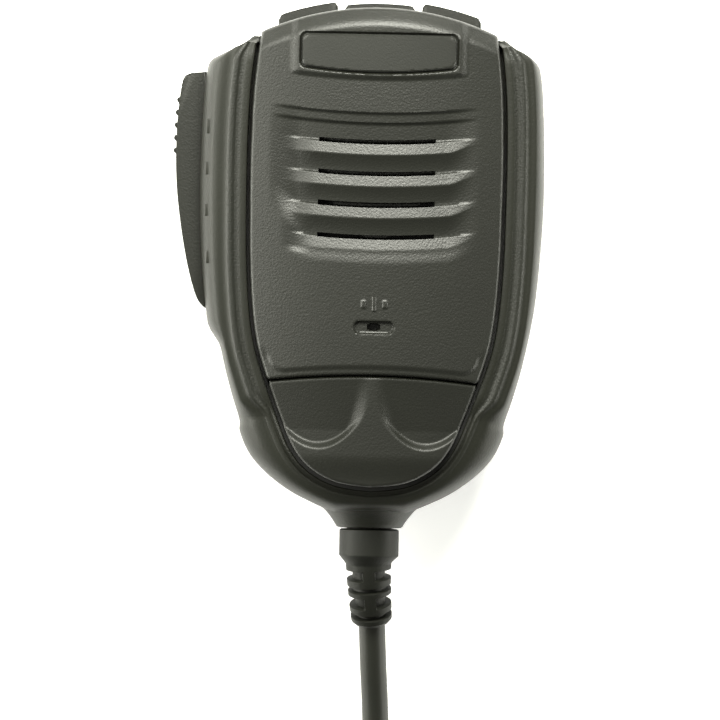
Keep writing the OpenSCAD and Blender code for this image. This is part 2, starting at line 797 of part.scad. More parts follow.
module stud_screw() {
    color("silver") difference() {
        union() {
            cylinder(d = 5.8, h = 1.2);
            cylinder(d = 3, h = z_back + 5.6);
        }
        translate([0, 0, -eps]) cylinder(d = 2.6, h = 0.7, $fn = 6);
    }
}

module case_screws() {
    color("#2a2a2a") for (p = case_screw_at)
        translate([p[0], p[1], z_back + 2.4]) screw(screw_d, case_screw_l, head_d, head_t);
}

module board_screws() {
    color("silver") for (p = board_screw_at)
        translate([p[0], p[1], board_z + board_t]) mirror([0, 0, 1])
            screw(small_d, small_l - 0.2, small_head_d, small_head_t);
}

module panel_screws() {
    color("silver") for (p = panel_screw_at)
        translate([p[0], p[1], z_ledge - ledge_t])
            screw(small_d, small_l, small_head_d, small_head_t);
}

module chin_screws() {
    color("silver") for (p = chin_screw_at)
        translate([p[0], p[1], z_ledge - ledge_t])
            screw(small_d, small_l, small_head_d, small_head_t);
}

// ---------- strain relief and cord ----------

// A ring square to the strain relief's bent axis, at a share s of its flexible length
module relief_ring(s, d, h) {
    p = smooth(route_entry);
    n = len(p) - 1;
    k = min(floor(s * n), n - 1);
    a = p[k] + (s * n - k) * (p[k + 1] - p[k]);
    t = unit(p[min(k + 2, n)] - p[max(k - 1, 0)]);
    translate(a) rotate([90 - asin(t[2]), 0, 0]) rotate([0, -t[0] * 57, 0])
        cylinder(d = d, h = h, center = true);
}

module strain_relief() {
    start = y_neck - neck_l;
    color("#2f302c") difference() {
        union() {
            // flange inside the case, stem in the neck, collar outside
            translate([0, y_neck + 4.6, neck_z]) rotate([90, 0, 0]) cylinder(r = 5.2, h = 1.9);
            translate([0, y_neck + 3, neck_z]) rotate([90, 0, 0])
                cylinder(r = stem_r, h = neck_l + 3.2);
            translate([0, start - 0.15, neck_z]) rotate([90, 0, 0])
                cylinder(d = collar_d, h = collar_l - 1.4);
            translate([0, start - collar_l + 1.3, neck_z]) rotate([90, 0, 0])
                cylinder(d1 = collar_d, d2 = 8.4, h = 1.5);
            // flexible part: rings on a thinner core
            tube(route_entry, 3.3, 16);
            for (i = [0:4])
                relief_ring(0.24 + 0.165 * i, 8.4 - 0.2 * i, 1.5);
        }
        tube(concat([[0, y_neck + 7, neck_z], [0, y_neck, neck_z]], route_entry,
                    [2 * tip - route_entry[3]]), cord_r, 10);
    }
}

// End of the cord inside the case and through the strain relief
module cord_entry() {
    color("#26261f")
        tube(concat([[0, y_neck + 11.6, neck_z], [0, y_neck + 2, neck_z]], route_entry),
             cord_r - 0.05, 10);
}

module cable_clamp() {
    y = y_neck + 10;
    z = z_back + 8.4;
    color("#9a9c9e") difference() {
        union() {
            block([-8.6, y - 2, z], [8.6, y + 2, z + 1.2]);
            translate([0, y + 2, neck_z]) rotate([90, 0, 0]) cylinder(r = cord_r + 1.2, h = 4);
        }
        translate([0, y + 3, neck_z]) rotate([90, 0, 0]) cylinder(r = cord_r, h = 6);
        block([-cord_r - 2, y - 3, 0], [cord_r + 2, y + 3, z]);
        block([-cord_r, y - 3, 0], [cord_r, y + 3, neck_z]);
        for (s = [-1, 1])
            translate([s * 6.4, y, 0]) cylinder(d = small_d + 0.4, h = 40);
    }
}

module clamp_screws() {
    color("silver") for (s = [-1, 1])
        translate([s * 6.4, y_neck + 10, z_back + 9.6]) mirror([0, 0, 1])
            screw(small_d, small_l, 3.2, small_head_t);
}

// A round tube swept along the smooth curve through a list of points
module tube(path, r, sides) {
    p = smooth(path);
    n = len(p);
    rings = [for (i = [0:n - 1])
        let (t = unit(p[min(i + 1, n - 1)] - p[max(i - 1, 0)]),
             u = unit(cross(t, [0, 0, 1])),
             v = cross(u, t))
        for (j = [0:sides - 1]) p[i] + r * (cos(j * 360 / sides) * u + sin(j * 360 / sides) * v)];
    sides_of = [for (i = [0:n - 2]) for (j = [0:sides - 1])
        let (a = i * sides + j, b = i * sides + (j + 1) % sides)
        each [[a, b, a + sides], [b, b + sides, a + sides]]];
    caps = [[for (j = [sides - 1:-1:0]) j], [for (j = [0:sides - 1]) (n - 1) * sides + j]];
    polyhedron(concat(rings), concat(sides_of, caps), convexity = 4);
}

module cord() { color("#26261f") tube(route_in, cord_r, 10); }
module cord_end() { color("#26261f") tube(route_out, cord_r, 10); }

// Outer shape of the neat coil that holds the rest of the cord
module cord_coil() {
    half = coil_turns * cord_d / 2;
    color("#26261f") translate([coil_at[0], coil_at[1], tie_t]) rotate_extrude()
        translate([coil_r - half, 0]) square([2 * half, coil_layers * cord_d]);
}

module cord_ties() {
    half = coil_turns * cord_d / 2;
    h = coil_layers * cord_d;
    a = coil_r - half - 0.75;
    b = coil_r + half + 0.1;
    color("#0f0f0f") for (turn = [150, 290])
        translate([coil_at[0], coil_at[1], 0]) rotate([0, 0, turn]) difference() {
            block([a - tie_t, -tie_w / 2, 0], [b + tie_t, tie_w / 2, h + 2 * tie_t]);
            block([a, -tie_w, tie_t], [b, tie_w, h + tie_t]);
        }
}

// ---------- plug ----------

// Place on the plug's axis, s millimetres from the boot's end towards -Y
module on_plug(s) {
    translate([plug_at[0], plug_at[1] - s, plug_at[2]]) rotate([90, 0, 0]) children();
}

module plug_boot() {
    color("#1d1d1b") difference() {
        union() {
            on_plug(0) cylinder(d1 = 6.6, d2 = 9, h = boot_l - 3);
            on_plug(boot_l - 3) cylinder(d = 9, h = 3);
            on_plug(boot_l - 1) cylinder(d = 9.7, h = clamp_l - 1);
        }
        on_plug(-1) cylinder(r = cord_r, h = boot_l + clamp_l);
    }
}

module plug_shell() {
    color("#b9bcc0") difference() {
        union() {
            on_plug(boot_l) cylinder(d = 12.6, h = clamp_l);
            on_plug(boot_l + clamp_l) cylinder(d1 = 12.6, d2 = plug_d, h = 2);
            on_plug(boot_l + clamp_l + 2) cylinder(d = plug_d, h = shell_l - 2);
        }
        on_plug(boot_l - 1) cylinder(d = 9.8, h = clamp_l + 1);
        on_plug(boot_l + clamp_l - eps) cylinder(d = 12.2, h = shell_l + 1);
        for (s = [-1, 1])
            translate([plug_at[0] + s * 4.9, plug_at[1] - boot_l - clamp_l + 4.8, plug_at[2] + 2.4])
                cylinder(d = 1.2, h = 9);
        // flat where the clamp sits
        translate([plug_at[0] - 10, plug_at[1] - boot_l - clamp_l + 1, plug_at[2] + 3])
            cube([20, clamp_l + 1, 10]);
    }
}

module plug_clamp() {
    y = plug_at[1] - boot_l - clamp_l + 1.4;
    color("#a4a7ab") difference() {
        intersection() {
            on_plug(boot_l) cylinder(d = 12.6, h = clamp_l);
            translate([plug_at[0] - 10, y, plug_at[2] + 3.1]) cube([20, clamp_l - 2, 10]);
        }
        on_plug(boot_l - 1) cylinder(d = 9.8, h = clamp_l + 1);
        for (s = [-1, 1])
            translate([plug_at[0] + s * 4.9, y + 3.4, plug_at[2]]) {
                cylinder(d = 1.3, h = 9);
                translate([0, 0, 3.9]) cylinder(d = 2.2, h = 9);
            }
    }
}

module plug_clamp_screws() {
    y = plug_at[1] - boot_l - clamp_l + 4.8;
    color("silver") for (s = [-1, 1])
        translate([plug_at[0] + s * 4.9, y, plug_at[2] + 2.4]) {
            cylinder(d = 1.2, h = 1.5);
            translate([0, 0, 1.5]) cylinder(d = 2, h = 0.9);
        }
}

module plug_nut() {
    s0 = boot_l + clamp_l + shell_l - 10;
    color("#c4c7cb") difference() {
        on_plug(s0) cylinder(d = nut_d, h = nut_l);
        on_plug(s0 - 1) cylinder(r = plug_d / 2 + nut_gap, h = nut_l + 2);
        for (a = [0:15:345])
            on_plug(s0 + 2) rotate([0, 0, a]) translate([nut_d / 2 + 0.15, 0, 0])
                cylinder(d = 0.8, h = nut_l - 4);
    }
}

module contact_places() {
    for (a = [0:72:288])
        rotate([0, 0, a]) translate([3.6, 0, 0]) children();
    children();
}

module plug_insert() {
    s0 = boot_l + clamp_l + shell_l - 6;
    color("#3a2a1e") difference() {
        union() {
            on_plug(s0) cylinder(d = 12.2, h = 6);
            on_plug(s0 + 6 - eps) cylinder(d = 11, h = insert_l - 6);
        }
        on_plug(s0 - 1) contact_places() cylinder(d = 1.8, h = insert_l + 2);
    }
}

module plug_contacts() {
    s0 = boot_l + clamp_l + shell_l - 9;
    color("gold") difference() {
        on_plug(s0) contact_places() cylinder(d = 1.8, h = insert_l + 2.6);
        on_plug(s0 + 4) contact_places() cylinder(d = 1, h = insert_l + 2);
    }
}

rear_case();
front_case();
front_panel();
chin_cover();
nameplate();
panel_seal();
talk_lever();
lever_pin();
lever_spring();
lever_switch();
switch_plunger();
left_key();
middle_key();
right_key();
key_board();
key_switches();
key_header();
main_board();
board_parts();
wire_header();
speaker_frame();
speaker_cone();
speaker_magnet();
speaker_gasket();
grille_cloth();
mic_capsule();
capsule_boot();
hang_stud();
stud_screw();
case_screws();
board_screws();
panel_screws();
chin_screws();
strain_relief();
cord_entry();
cable_clamp();
clamp_screws();
cord();
cord_coil();
cord_ties();
cord_end();
plug_boot();
plug_shell();
plug_nut();
plug_insert();
plug_contacts();
plug_clamp();
plug_clamp_screws();
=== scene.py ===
"""Looks of a hand microphone with a talk lever, three top keys, a coiled cord and a round plug.

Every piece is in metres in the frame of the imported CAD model. +Y runs up the case, +Z comes
out of the speaker grille, and the talk lever is on the -X side. Sizes are in millimetres
until a mesh is made.
"""

import json
import logging
import math
from dataclasses import dataclass, field
from enum import Enum
from typing import Callable, Sequence

import bmesh
import bpy
import numpy as np
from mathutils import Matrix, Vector

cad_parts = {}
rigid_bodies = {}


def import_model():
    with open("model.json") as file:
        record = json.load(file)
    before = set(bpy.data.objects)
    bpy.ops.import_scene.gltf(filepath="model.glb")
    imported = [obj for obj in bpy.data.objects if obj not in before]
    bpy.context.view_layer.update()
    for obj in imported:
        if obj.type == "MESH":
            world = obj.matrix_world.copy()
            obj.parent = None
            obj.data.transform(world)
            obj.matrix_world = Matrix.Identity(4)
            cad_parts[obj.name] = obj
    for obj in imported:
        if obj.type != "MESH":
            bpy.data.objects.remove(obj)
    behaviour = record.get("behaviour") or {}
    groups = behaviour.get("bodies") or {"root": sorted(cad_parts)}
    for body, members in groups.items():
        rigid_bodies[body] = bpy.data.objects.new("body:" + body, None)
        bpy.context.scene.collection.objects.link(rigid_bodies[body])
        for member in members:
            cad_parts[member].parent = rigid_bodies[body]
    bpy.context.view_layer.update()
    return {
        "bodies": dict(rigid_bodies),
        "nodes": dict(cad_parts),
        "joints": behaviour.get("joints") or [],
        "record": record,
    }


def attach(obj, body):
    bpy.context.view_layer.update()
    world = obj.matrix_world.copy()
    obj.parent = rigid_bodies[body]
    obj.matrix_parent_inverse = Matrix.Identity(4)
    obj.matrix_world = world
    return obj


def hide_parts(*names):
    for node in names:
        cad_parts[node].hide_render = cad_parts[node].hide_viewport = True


logging.basicConfig(level=logging.INFO, format="%(message)s")
LOG = logging.getLogger("hand_microphone")

MM = 0.001
SHARP = 38  # angle above which an edge stays sharp, in degrees
Points = Sequence[Sequence[float]]
Height = Callable[[np.ndarray, np.ndarray], np.ndarray]


# ---- finishes


def srgb(code: str) -> tuple[float, float, float, float]:
    """Turns a hex colour into linear RGBA.

    Args:
        code: Six hex digits after a hash.

    Returns:
        Linear red, green, blue and an alpha of 1.
    """
    raw = [int(code[i : i + 2], 16) / 255 for i in (1, 3, 5)]
    lin = [c / 12.92 if c <= 0.04045 else ((c + 0.055) / 1.055) ** 2.4 for c in raw]
    return (lin[0], lin[1], lin[2], 1.0)


def add_node(tree: bpy.types.NodeTree, kind: str, **inputs: object) -> bpy.types.Node:
    """Adds a shader node and sets its inputs by name (an underscore stands for a space).

    Args:
        tree: Node tree that gets the node.
        kind: Type name of the node.
        **inputs: A constant, or the output socket to link from.

    Returns:
        The new node.
    """
    node = tree.nodes.new(kind)
    for name, value in inputs.items():
        socket = node.inputs[name.replace("_", " ")]
        if isinstance(value, bpy.types.NodeSocket):
            tree.links.new(value, socket)
        else:
            socket.default_value = value
    return node


class Grain(Enum):
    """How a surface is textured."""

    NONE = "none"
    PEBBLE = "pebble"
    BEADED = "beaded"
    FINE = "fine"


@dataclass(frozen=True)
class Finish:
    """One finish: a principled shader with a mottled colour and a grain.

    Attributes:
        name: Name of the real material.
        colour: Hex colour in sRGB.
        roughness: Roughness from 0 to 1.
        metallic: 1 for bare metal.
        grain: Kind of surface grain.
        cell: Size of a grain cell, in mm.
        relief: Height of the grain, in mm.
        mottle: How far the colour varies.
        shine: Strength of the reflection, where 0.5 is that of common plastic.
        glow: Light that the surface gives off itself.
    """

    name: str
    colour: str
    roughness: float = 0.5
    metallic: float = 0.0
    grain: Grain = Grain.NONE
    cell: float = 0.45
    relief: float = 0.05
    mottle: float = 0.08
    shine: float = 0.5
    glow: float = 0.0

    def make(self) -> bpy.types.Material:
        """Builds the material, or finds it where it is made already.

        Returns:
            The material.
        """
        known = bpy.data.materials.get(self.name)
        if known:
            return known
        mat = bpy.data.materials.new(self.name)
        mat.use_nodes = True
        tree = mat.node_tree
        tree.nodes.clear()
        place = add_node(tree, "ShaderNodeTexCoord").outputs["Object"]
        base = srgb(self.colour)
        patch = add_node(tree, "ShaderNodeTexNoise", Vector=place, Scale=1 / (9 * MM), Detail=5.0)
        ramp = add_node(tree, "ShaderNodeValToRGB", Fac=patch.outputs["Fac"])
        for stop, side in zip(ramp.color_ramp.elements, (-1, 1)):
            stop.color = [c * (1 + side * self.mottle) for c in base[:3]] + [1.0]
        ramp.color_ramp.elements[0].position = 0.3
        ramp.color_ramp.elements[1].position = 0.7
        shader = add_node(
            tree, "ShaderNodeBsdfPrincipled", Base_Color=ramp.outputs["Color"],
            Roughness=self.roughness, Metallic=self.metallic, Specular_IOR_Level=self.shine,
            Emission_Color=(1.0, 1.0, 1.0, 1.0), Emission_Strength=self.glow,
        )
        normal = self._grain(tree, place)
        if normal:
            tree.links.new(normal, shader.inputs["Normal"])
        out = add_node(tree, "ShaderNodeOutputMaterial")
        tree.links.new(shader.outputs["BSDF"], out.inputs["Surface"])
        return mat

    def _grain(
        self, tree: bpy.types.NodeTree, place: bpy.types.NodeSocket
    ) -> bpy.types.NodeSocket | None:
        """Adds the grain.

        Args:
            tree: Node tree that gets it.
            place: Socket of the object coordinates.

        Returns:
            The normal socket, or None where there is no grain.
        """
        if self.grain is Grain.NONE:
            return None
        scale = 1 / (self.cell * MM)
        warp = add_node(tree, "ShaderNodeTexNoise", Vector=place, Scale=scale * 0.7, Detail=3.0)
        cells = add_node(tree, "ShaderNodeTexVoronoi", Vector=place, Scale=scale)
        cells.feature = "SMOOTH_F1"
        cells.inputs["Smoothness"].default_value = 0.7 if self.grain is not Grain.BEADED else 0.3
        mix = add_node(tree, "ShaderNodeMath")
        mix.operation = "MULTIPLY_ADD"
        tree.links.new(warp.outputs["Fac"], mix.inputs[0])
        mix.inputs[1].default_value = 0.9 if self.grain is Grain.PEBBLE else 0.4
        tree.links.new(cells.outputs["Distance"], mix.inputs[2])
        bump = add_node(
            tree, "ShaderNodeBump", Height=mix.outputs["Value"], Strength=1.0,
            Distance=self.relief * MM,
        )
        bump.invert = True
        return bump.outputs["Normal"]


# Moulded ABS: the tool's spark-eroded skin gives a dull, pebbly sheen. The real cells are near
# 0.1 mm, too fine to show, so they are drawn at about a third of a millimetre.
ABS_CASE = Finish(
    "moulded ABS, case", "#151610", 0.46, grain=Grain.PEBBLE, cell=0.36, relief=0.022, shine=0.32
)
ABS_PANEL = Finish(
    "moulded ABS, panel", "#11120d", 0.43, grain=Grain.PEBBLE, cell=0.34, relief=0.028, shine=0.5
)
ABS_CHIN = Finish(
    "moulded ABS, chin", "#10110c", 0.46, grain=Grain.PEBBLE, cell=0.36, relief=0.022, shine=0.4
)
# Raised strip along the rails, whose coarse beads glitter
ABS_BEAD = Finish(
    "moulded ABS, grip", "#161712", 0.45, grain=Grain.BEADED, cell=0.32, relief=0.045, shine=0.4
)
# Lever and keys come from a smoother tool and look even
ABS_LEVER = Finish(
    "moulded ABS, talk lever", "#11120d", 0.46, grain=Grain.FINE, cell=0.35, relief=0.022, shine=0.3
)
ABS_KEY = Finish(
    "moulded ABS, keys", "#11120d", 0.46, grain=Grain.FINE, cell=0.35, relief=0.022, shine=0.28
)
# Acrylic film over a dark print: flatter and a little glossier than the panel
PLATE = Finish("printed acrylic plate", "#171814", 0.4, grain=Grain.FINE, cell=0.3, relief=0.012)
# Soft parts: a faint skin with little shine
RELIEF_TPE = Finish(
    "soft TPE, strain relief", "#10110d", 0.52, grain=Grain.FINE, relief=0.015, shine=0.2
)
JACKET = Finish(
    "PVC cord jacket", "#191a15", 0.48, grain=Grain.FINE, cell=0.5, relief=0.01, shine=0.35
)
# Near-black finish of the window and well cutters: painted shade for the inside of the openings,
# darker than the case's own plastic
SHADE = Finish("painted shade inside openings", "#080808", 0.8)
# Slots of the CAD pieces that stay: the metals are bright with hardly any change of colour,
# and paper, cloth and rubber take the light without a reflection
LOOKS = {
    "steel": Finish("zinc-plated steel", "#a7a9ab", 0.32, 1.0, mottle=0.04),
    "black_steel": Finish("black oxide steel", "#232323", 0.4, 0.8, mottle=0.04),
    "plated_metal": Finish("nickel-plated brass", "#c3c4c2", 0.24, 1.0, mottle=0.03),
    "aluminium": Finish("drawn aluminium", "#b5b7ba", 0.35, 1.0, mottle=0.03),
    "gold": Finish("gold-plated contact", "#c8a24a", 0.25, 1.0, mottle=0.02),
    "ferrite": Finish("ferrite magnet", "#45474a", 0.6),
    "board": Finish("green solder mask", "#1d5a33", 0.35, mottle=0.05),
    "black_plastic": Finish("black nylon", "#1b1b1b", 0.45),
    "white_plastic": Finish("natural nylon", "#d8d4c8", 0.4),
    "insert_plastic": Finish("brown phenolic insert", "#3a2a1e", 0.35),
    "paper": Finish("coated paper cone", "#2a2622", 0.8),
    "cloth": Finish("black speaker cloth", "#0c0c0c", 0.95),
    "tie_fabric": Finish(
        "woven hook-and-loop tie", "#121212", 0.9, grain=Grain.BEADED, cell=0.6, relief=0.1
    ),
    "seal_rubber": Finish("black rubber seal", "#0d0d0c", 0.75),
    "soft_rubber": RELIEF_TPE, "cord_jacket": JACKET, "case_plastic": ABS_CASE,
    "panel_plastic": ABS_PANEL, "plate_plastic": PLATE, "key_plastic": ABS_KEY,
}
# Floor: card with light from below, so that it reads as white
FLOOR = Finish("lit white card", "#fbfbfa", 0.9, mottle=0.0, glow=0.45)


class Slot(Enum):
    """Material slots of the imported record."""

    CASE = "case_plastic"
    PANEL = "panel_plastic"
    PLATE = "plate_plastic"
    KEY = "key_plastic"
    RELIEF = "soft_rubber"
    JACKET = "cord_jacket"


# ---- curves and meshes


def smooth(points: Points, steps: int) -> np.ndarray:
    """Runs a smooth open curve through the points.

    Args:
        points: Points in two or three dimensions.
        steps: Pieces between two points.

    Returns:
        The dense points.
    """
    p = np.asarray(points, float)
    out = []
    for i in range(len(p) - 1):
        a, b, c, d = p[max(i - 1, 0)], p[i], p[i + 1], p[min(i + 2, len(p) - 1)]
        square, cube = 2 * a - 5 * b + 4 * c - d, 3 * b - a - 3 * c + d
        for s in range(steps):
            t = s / steps
            out.append(0.5 * (2 * b + (c - a) * t + square * t**2 + cube * t**3))
    out.append(p[-1])
    return np.array(out)


def ease(t: np.ndarray | float) -> np.ndarray:
    """Smooth step from 0 to 1."""
    c = np.clip(t, 0, 1)
    return c * c * (3 - 2 * c)


def lobe(t: np.ndarray | float) -> np.ndarray:
    """Smooth hump: 1 at t = 0 and 0 from |t| = 1 outwards."""
    return ease(1 - np.abs(t))


def resampled(points: np.ndarray, step: float) -> np.ndarray:
    """Spaces the points of a closed outline evenly.

    Args:
        points: Points of the outline.
        step: Distance from point to point, about.

    Returns:
        The new points.
    """
    loop = np.vstack([points, points[:1]])
    run = np.concatenate([[0], np.cumsum(np.linalg.norm(np.diff(loop, axis=0), axis=1))])
    at = np.linspace(0, run[-1], int(run[-1] / step), endpoint=False)
    return np.stack([np.interp(at, run, loop[:, k]) for k in range(2)], 1)


def outset(points: np.ndarray, by: float) -> np.ndarray:
    """Moves a closed clockwise outline outwards by a distance, in mm."""
    t = np.roll(points, -1, 0) - np.roll(points, 1, 0)
    return points - by * np.stack([t[:, 1], -t[:, 0]], 1) / np.linalg.norm(t, axis=1)[:, None]


def nearest(p: np.ndarray, line: np.ndarray) -> tuple[np.ndarray, np.ndarray]:
    """Finds the closest place on a closed outline to each point.

    Args:
        p: Points, one a row.
        line: Points of the outline.

    Returns:
        The closest places and the distances to them.
    """
    best = np.full(len(p), 1e9)
    place = np.zeros_like(p)
    for a, b in zip(line, np.roll(line, -1, 0)):
        d = b - a
        t = np.clip(((p - a) @ d) / max(d @ d, 1e-12), 0, 1)
        q = a + t[:, None] * d
        r = np.linalg.norm(p - q, axis=1)
        closer = r < best
        best[closer] = r[closer]
        place[closer] = q[closer]
    return place, best


def inside(p: np.ndarray, line: np.ndarray) -> np.ndarray:
    """Says which points lie inside a closed outline.

    Args:
        p: Points, one a row.
        line: Points of the outline.

    Returns:
        True for each point inside.
    """
    hit = np.zeros(len(p), bool)
    for a, b in zip(line, np.roll(line, -1, 0)):
        if a[1] == b[1]:
            continue
        cross = (a[1] > p[:, 1]) != (b[1] > p[:, 1])
        x = a[0] + (p[:, 1] - a[1]) * (b[0] - a[0]) / (b[1] - a[1])
        hit ^= cross & (p[:, 0] < x)
    return hit


def finish_mesh(name: str, bm: bmesh.types.BMesh, finish: Finish) -> bpy.types.Object:
    """Turns a bmesh in mm into an object in metres with one finish.

    Args:
        name: Name of the piece.
        bm: The mesh, which is freed.
        finish: Finish of its first material slot.

    Returns:
        The linked object.
    """
    bmesh.ops.remove_doubles(bm, verts=bm.verts, dist=1e-5)
    bmesh.ops.recalc_face_normals(bm, faces=bm.faces)
    bmesh.ops.scale(bm, vec=(MM, MM, MM), verts=bm.verts)
    mesh = bpy.data.meshes.new(name)
    bm.to_mesh(mesh)
    bm.free()
    obj = bpy.data.objects.new(name, mesh)
    bpy.context.scene.collection.objects.link(obj)
    mesh.materials.append(finish.make())
    mesh.shade_smooth()
    mesh.set_sharp_from_angle(angle=math.radians(SHARP))
    LOG.info("%s: %d faces", name, len(mesh.polygons))
    return obj


def settle(obj: bpy.types.Object, body: str, slot: Slot, *nodes: str) -> None:
    """Says what a piece rides on and hides the CAD nodes that it stands for.

    Args:
        obj: The piece.
        body: CAD body that it moves with.
        slot: Its material slot in the record; not used.
        *nodes: CAD nodes that it replaces, if any.
    """
    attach(obj, body)
    if nodes:
        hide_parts(*nodes)


def cut(obj: bpy.types.Object, cutters: Sequence[bpy.types.Object]) -> None:
    """Cuts the cutters out of an object and removes them.

    Args:
        obj: The object, which gets a new mesh.
        cutters: Solids to take away.
    """
    for cutter in cutters:
        mod = obj.modifiers.new("cut", "BOOLEAN")
        mod.operation = "DIFFERENCE"
        mod.solver = "EXACT"
        mod.object = cutter
        graph = bpy.context.evaluated_depsgraph_get()
        mesh = bpy.data.meshes.new_from_object(obj.evaluated_get(graph))
        obj.modifiers.clear()
        old = obj.data
        obj.data = mesh
        bpy.data.meshes.remove(old)
        bpy.data.objects.remove(cutter)
    obj.data.shade_smooth()
    obj.data.set_sharp_from_angle(angle=math.radians(SHARP))


def prism(
    name: str, outline: Points, z0: float, z1: float, finish: Finish, edge: float = 0.0
) -> bpy.types.Object:
    """Makes an upright prism with rounded edges.

    Args:
        name: Name of the piece.
        outline: Closed outline in mm.
        z0: Lower level.
        z1: Upper level.
        finish: Its finish.
        edge: Radius of its upper and lower edges.

    Returns:
        The object.
    """
    bm = bmesh.new()
    low = [bm.verts.new((x, y, z0)) for x, y in outline]
    high = [bm.verts.new((x, y, z1)) for x, y in outline]
    bm.faces.new(low)
    bm.faces.new(high)
    for i, foot in enumerate(low):
        bm.faces.new((low[i - 1], foot, high[i], high[i - 1]))
    if edge:
        rims = [e for e in bm.edges if abs(e.verts[0].co.z - e.verts[1].co.z) < 1e-6]
        bmesh.ops.bevel(
            bm, geom=rims, offset=edge, segments=4, profile=0.5, affect="EDGES", material=-1
        )
    return finish_mesh(name, bm, finish)


def box_points(x0: float, x1: float, y0: float, y1: float) -> list[tuple[float, float]]:
    """Corners of a rectangle."""
    return [(x0, y0), (x1, y0), (x1, y1), (x0, y1)]


def loft(
    name: str,
    rings: Sequence[np.ndarray],
    finish: Finish,
    tags: Callable[[int, int], int] | None = None,
    extra: Sequence[Finish] = (),
) -> bpy.types.Object:
    """Joins closed rings of equal length into a closed solid with flat ends.

    Args:
        name: Name of the piece.
        rings: Points of each ring in mm.
        finish: Its first finish.
        tags: Gives a face's material slot from its ring and place on the ring.
        extra: Finishes of the further slots.

    Returns:
        The object.
    """
    bm = bmesh.new()
    made = [[bm.verts.new(p) for p in ring] for ring in rings]
    n = len(made[0])
    for j in range(len(made) - 1):
        for i in range(n):
            k = (i + 1) % n
            face = bm.faces.new((made[j][i], made[j][k], made[j + 1][k], made[j + 1][i]))
            face.material_index = tags(j, i) if tags else 0
    bm.faces.new(made[0])
    bm.faces.new(made[-1])
    obj = finish_mesh(name, bm, finish)
    for more in extra:
        obj.data.materials.append(more.make())
    return obj


def field_mesh(
    name: str, outline: np.ndarray, xs: np.ndarray, ys: np.ndarray, warp: Height, height: Height,
    floor: float, finish: Finish,
) -> bpy.types.Object:
    """Makes a closed solid whose upper side follows a height function inside an outline.

    Args:
        name: Name of the piece.
        outline: Closed outline in mm.
        xs: Columns of the grid.
        ys: Rows of the grid, before they are bent.
        warp: Shift of a row along Y, from column and row.
        height: Height from x, y in mm.
        floor: Level of the flat underside.
        finish: Its finish.

    Returns:
        The object.
    """
    gx, gy = np.meshgrid(xs, ys)
    gy = gy + warp(gx, gy)
    p = np.stack([gx.ravel(), gy.ravel()], 1)
    index = np.arange(gx.size).reshape(gx.shape)
    quads = np.stack([index[:-1, :-1], index[:-1, 1:], index[1:, 1:], index[1:, :-1]], -1)
    quads = quads.reshape(-1, 4)
    keep = quads[inside(p[quads].mean(1), outline)]
    count = np.zeros(len(p), int)
    np.add.at(count, keep.ravel(), 1)
    rim = (count > 0) & (count < 4)
    spot, _ = nearest(p[rim], outline)
    p[rim] = spot
    z = height(p[:, 0], p[:, 1])
    bm = bmesh.new()
    verts = {i: bm.verts.new((p[i, 0], p[i, 1], z[i])) for i in np.unique(keep)}
    for q in keep:
        bm.faces.new([verts[i] for i in q])
    border = [e for e in bm.edges if e.is_boundary]
    made = bmesh.ops.extrude_edge_only(bm, edges=border)["geom"]
    for part in made:
        if isinstance(part, bmesh.types.BMVert):
            part.co.z = floor
    rim_edges = [g for g in made if isinstance(g, bmesh.types.BMEdge) and g.is_boundary]
    bmesh.ops.contextual_create(bm, geom=rim_edges)
    return finish_mesh(name, bm, finish)


# ---- shared form


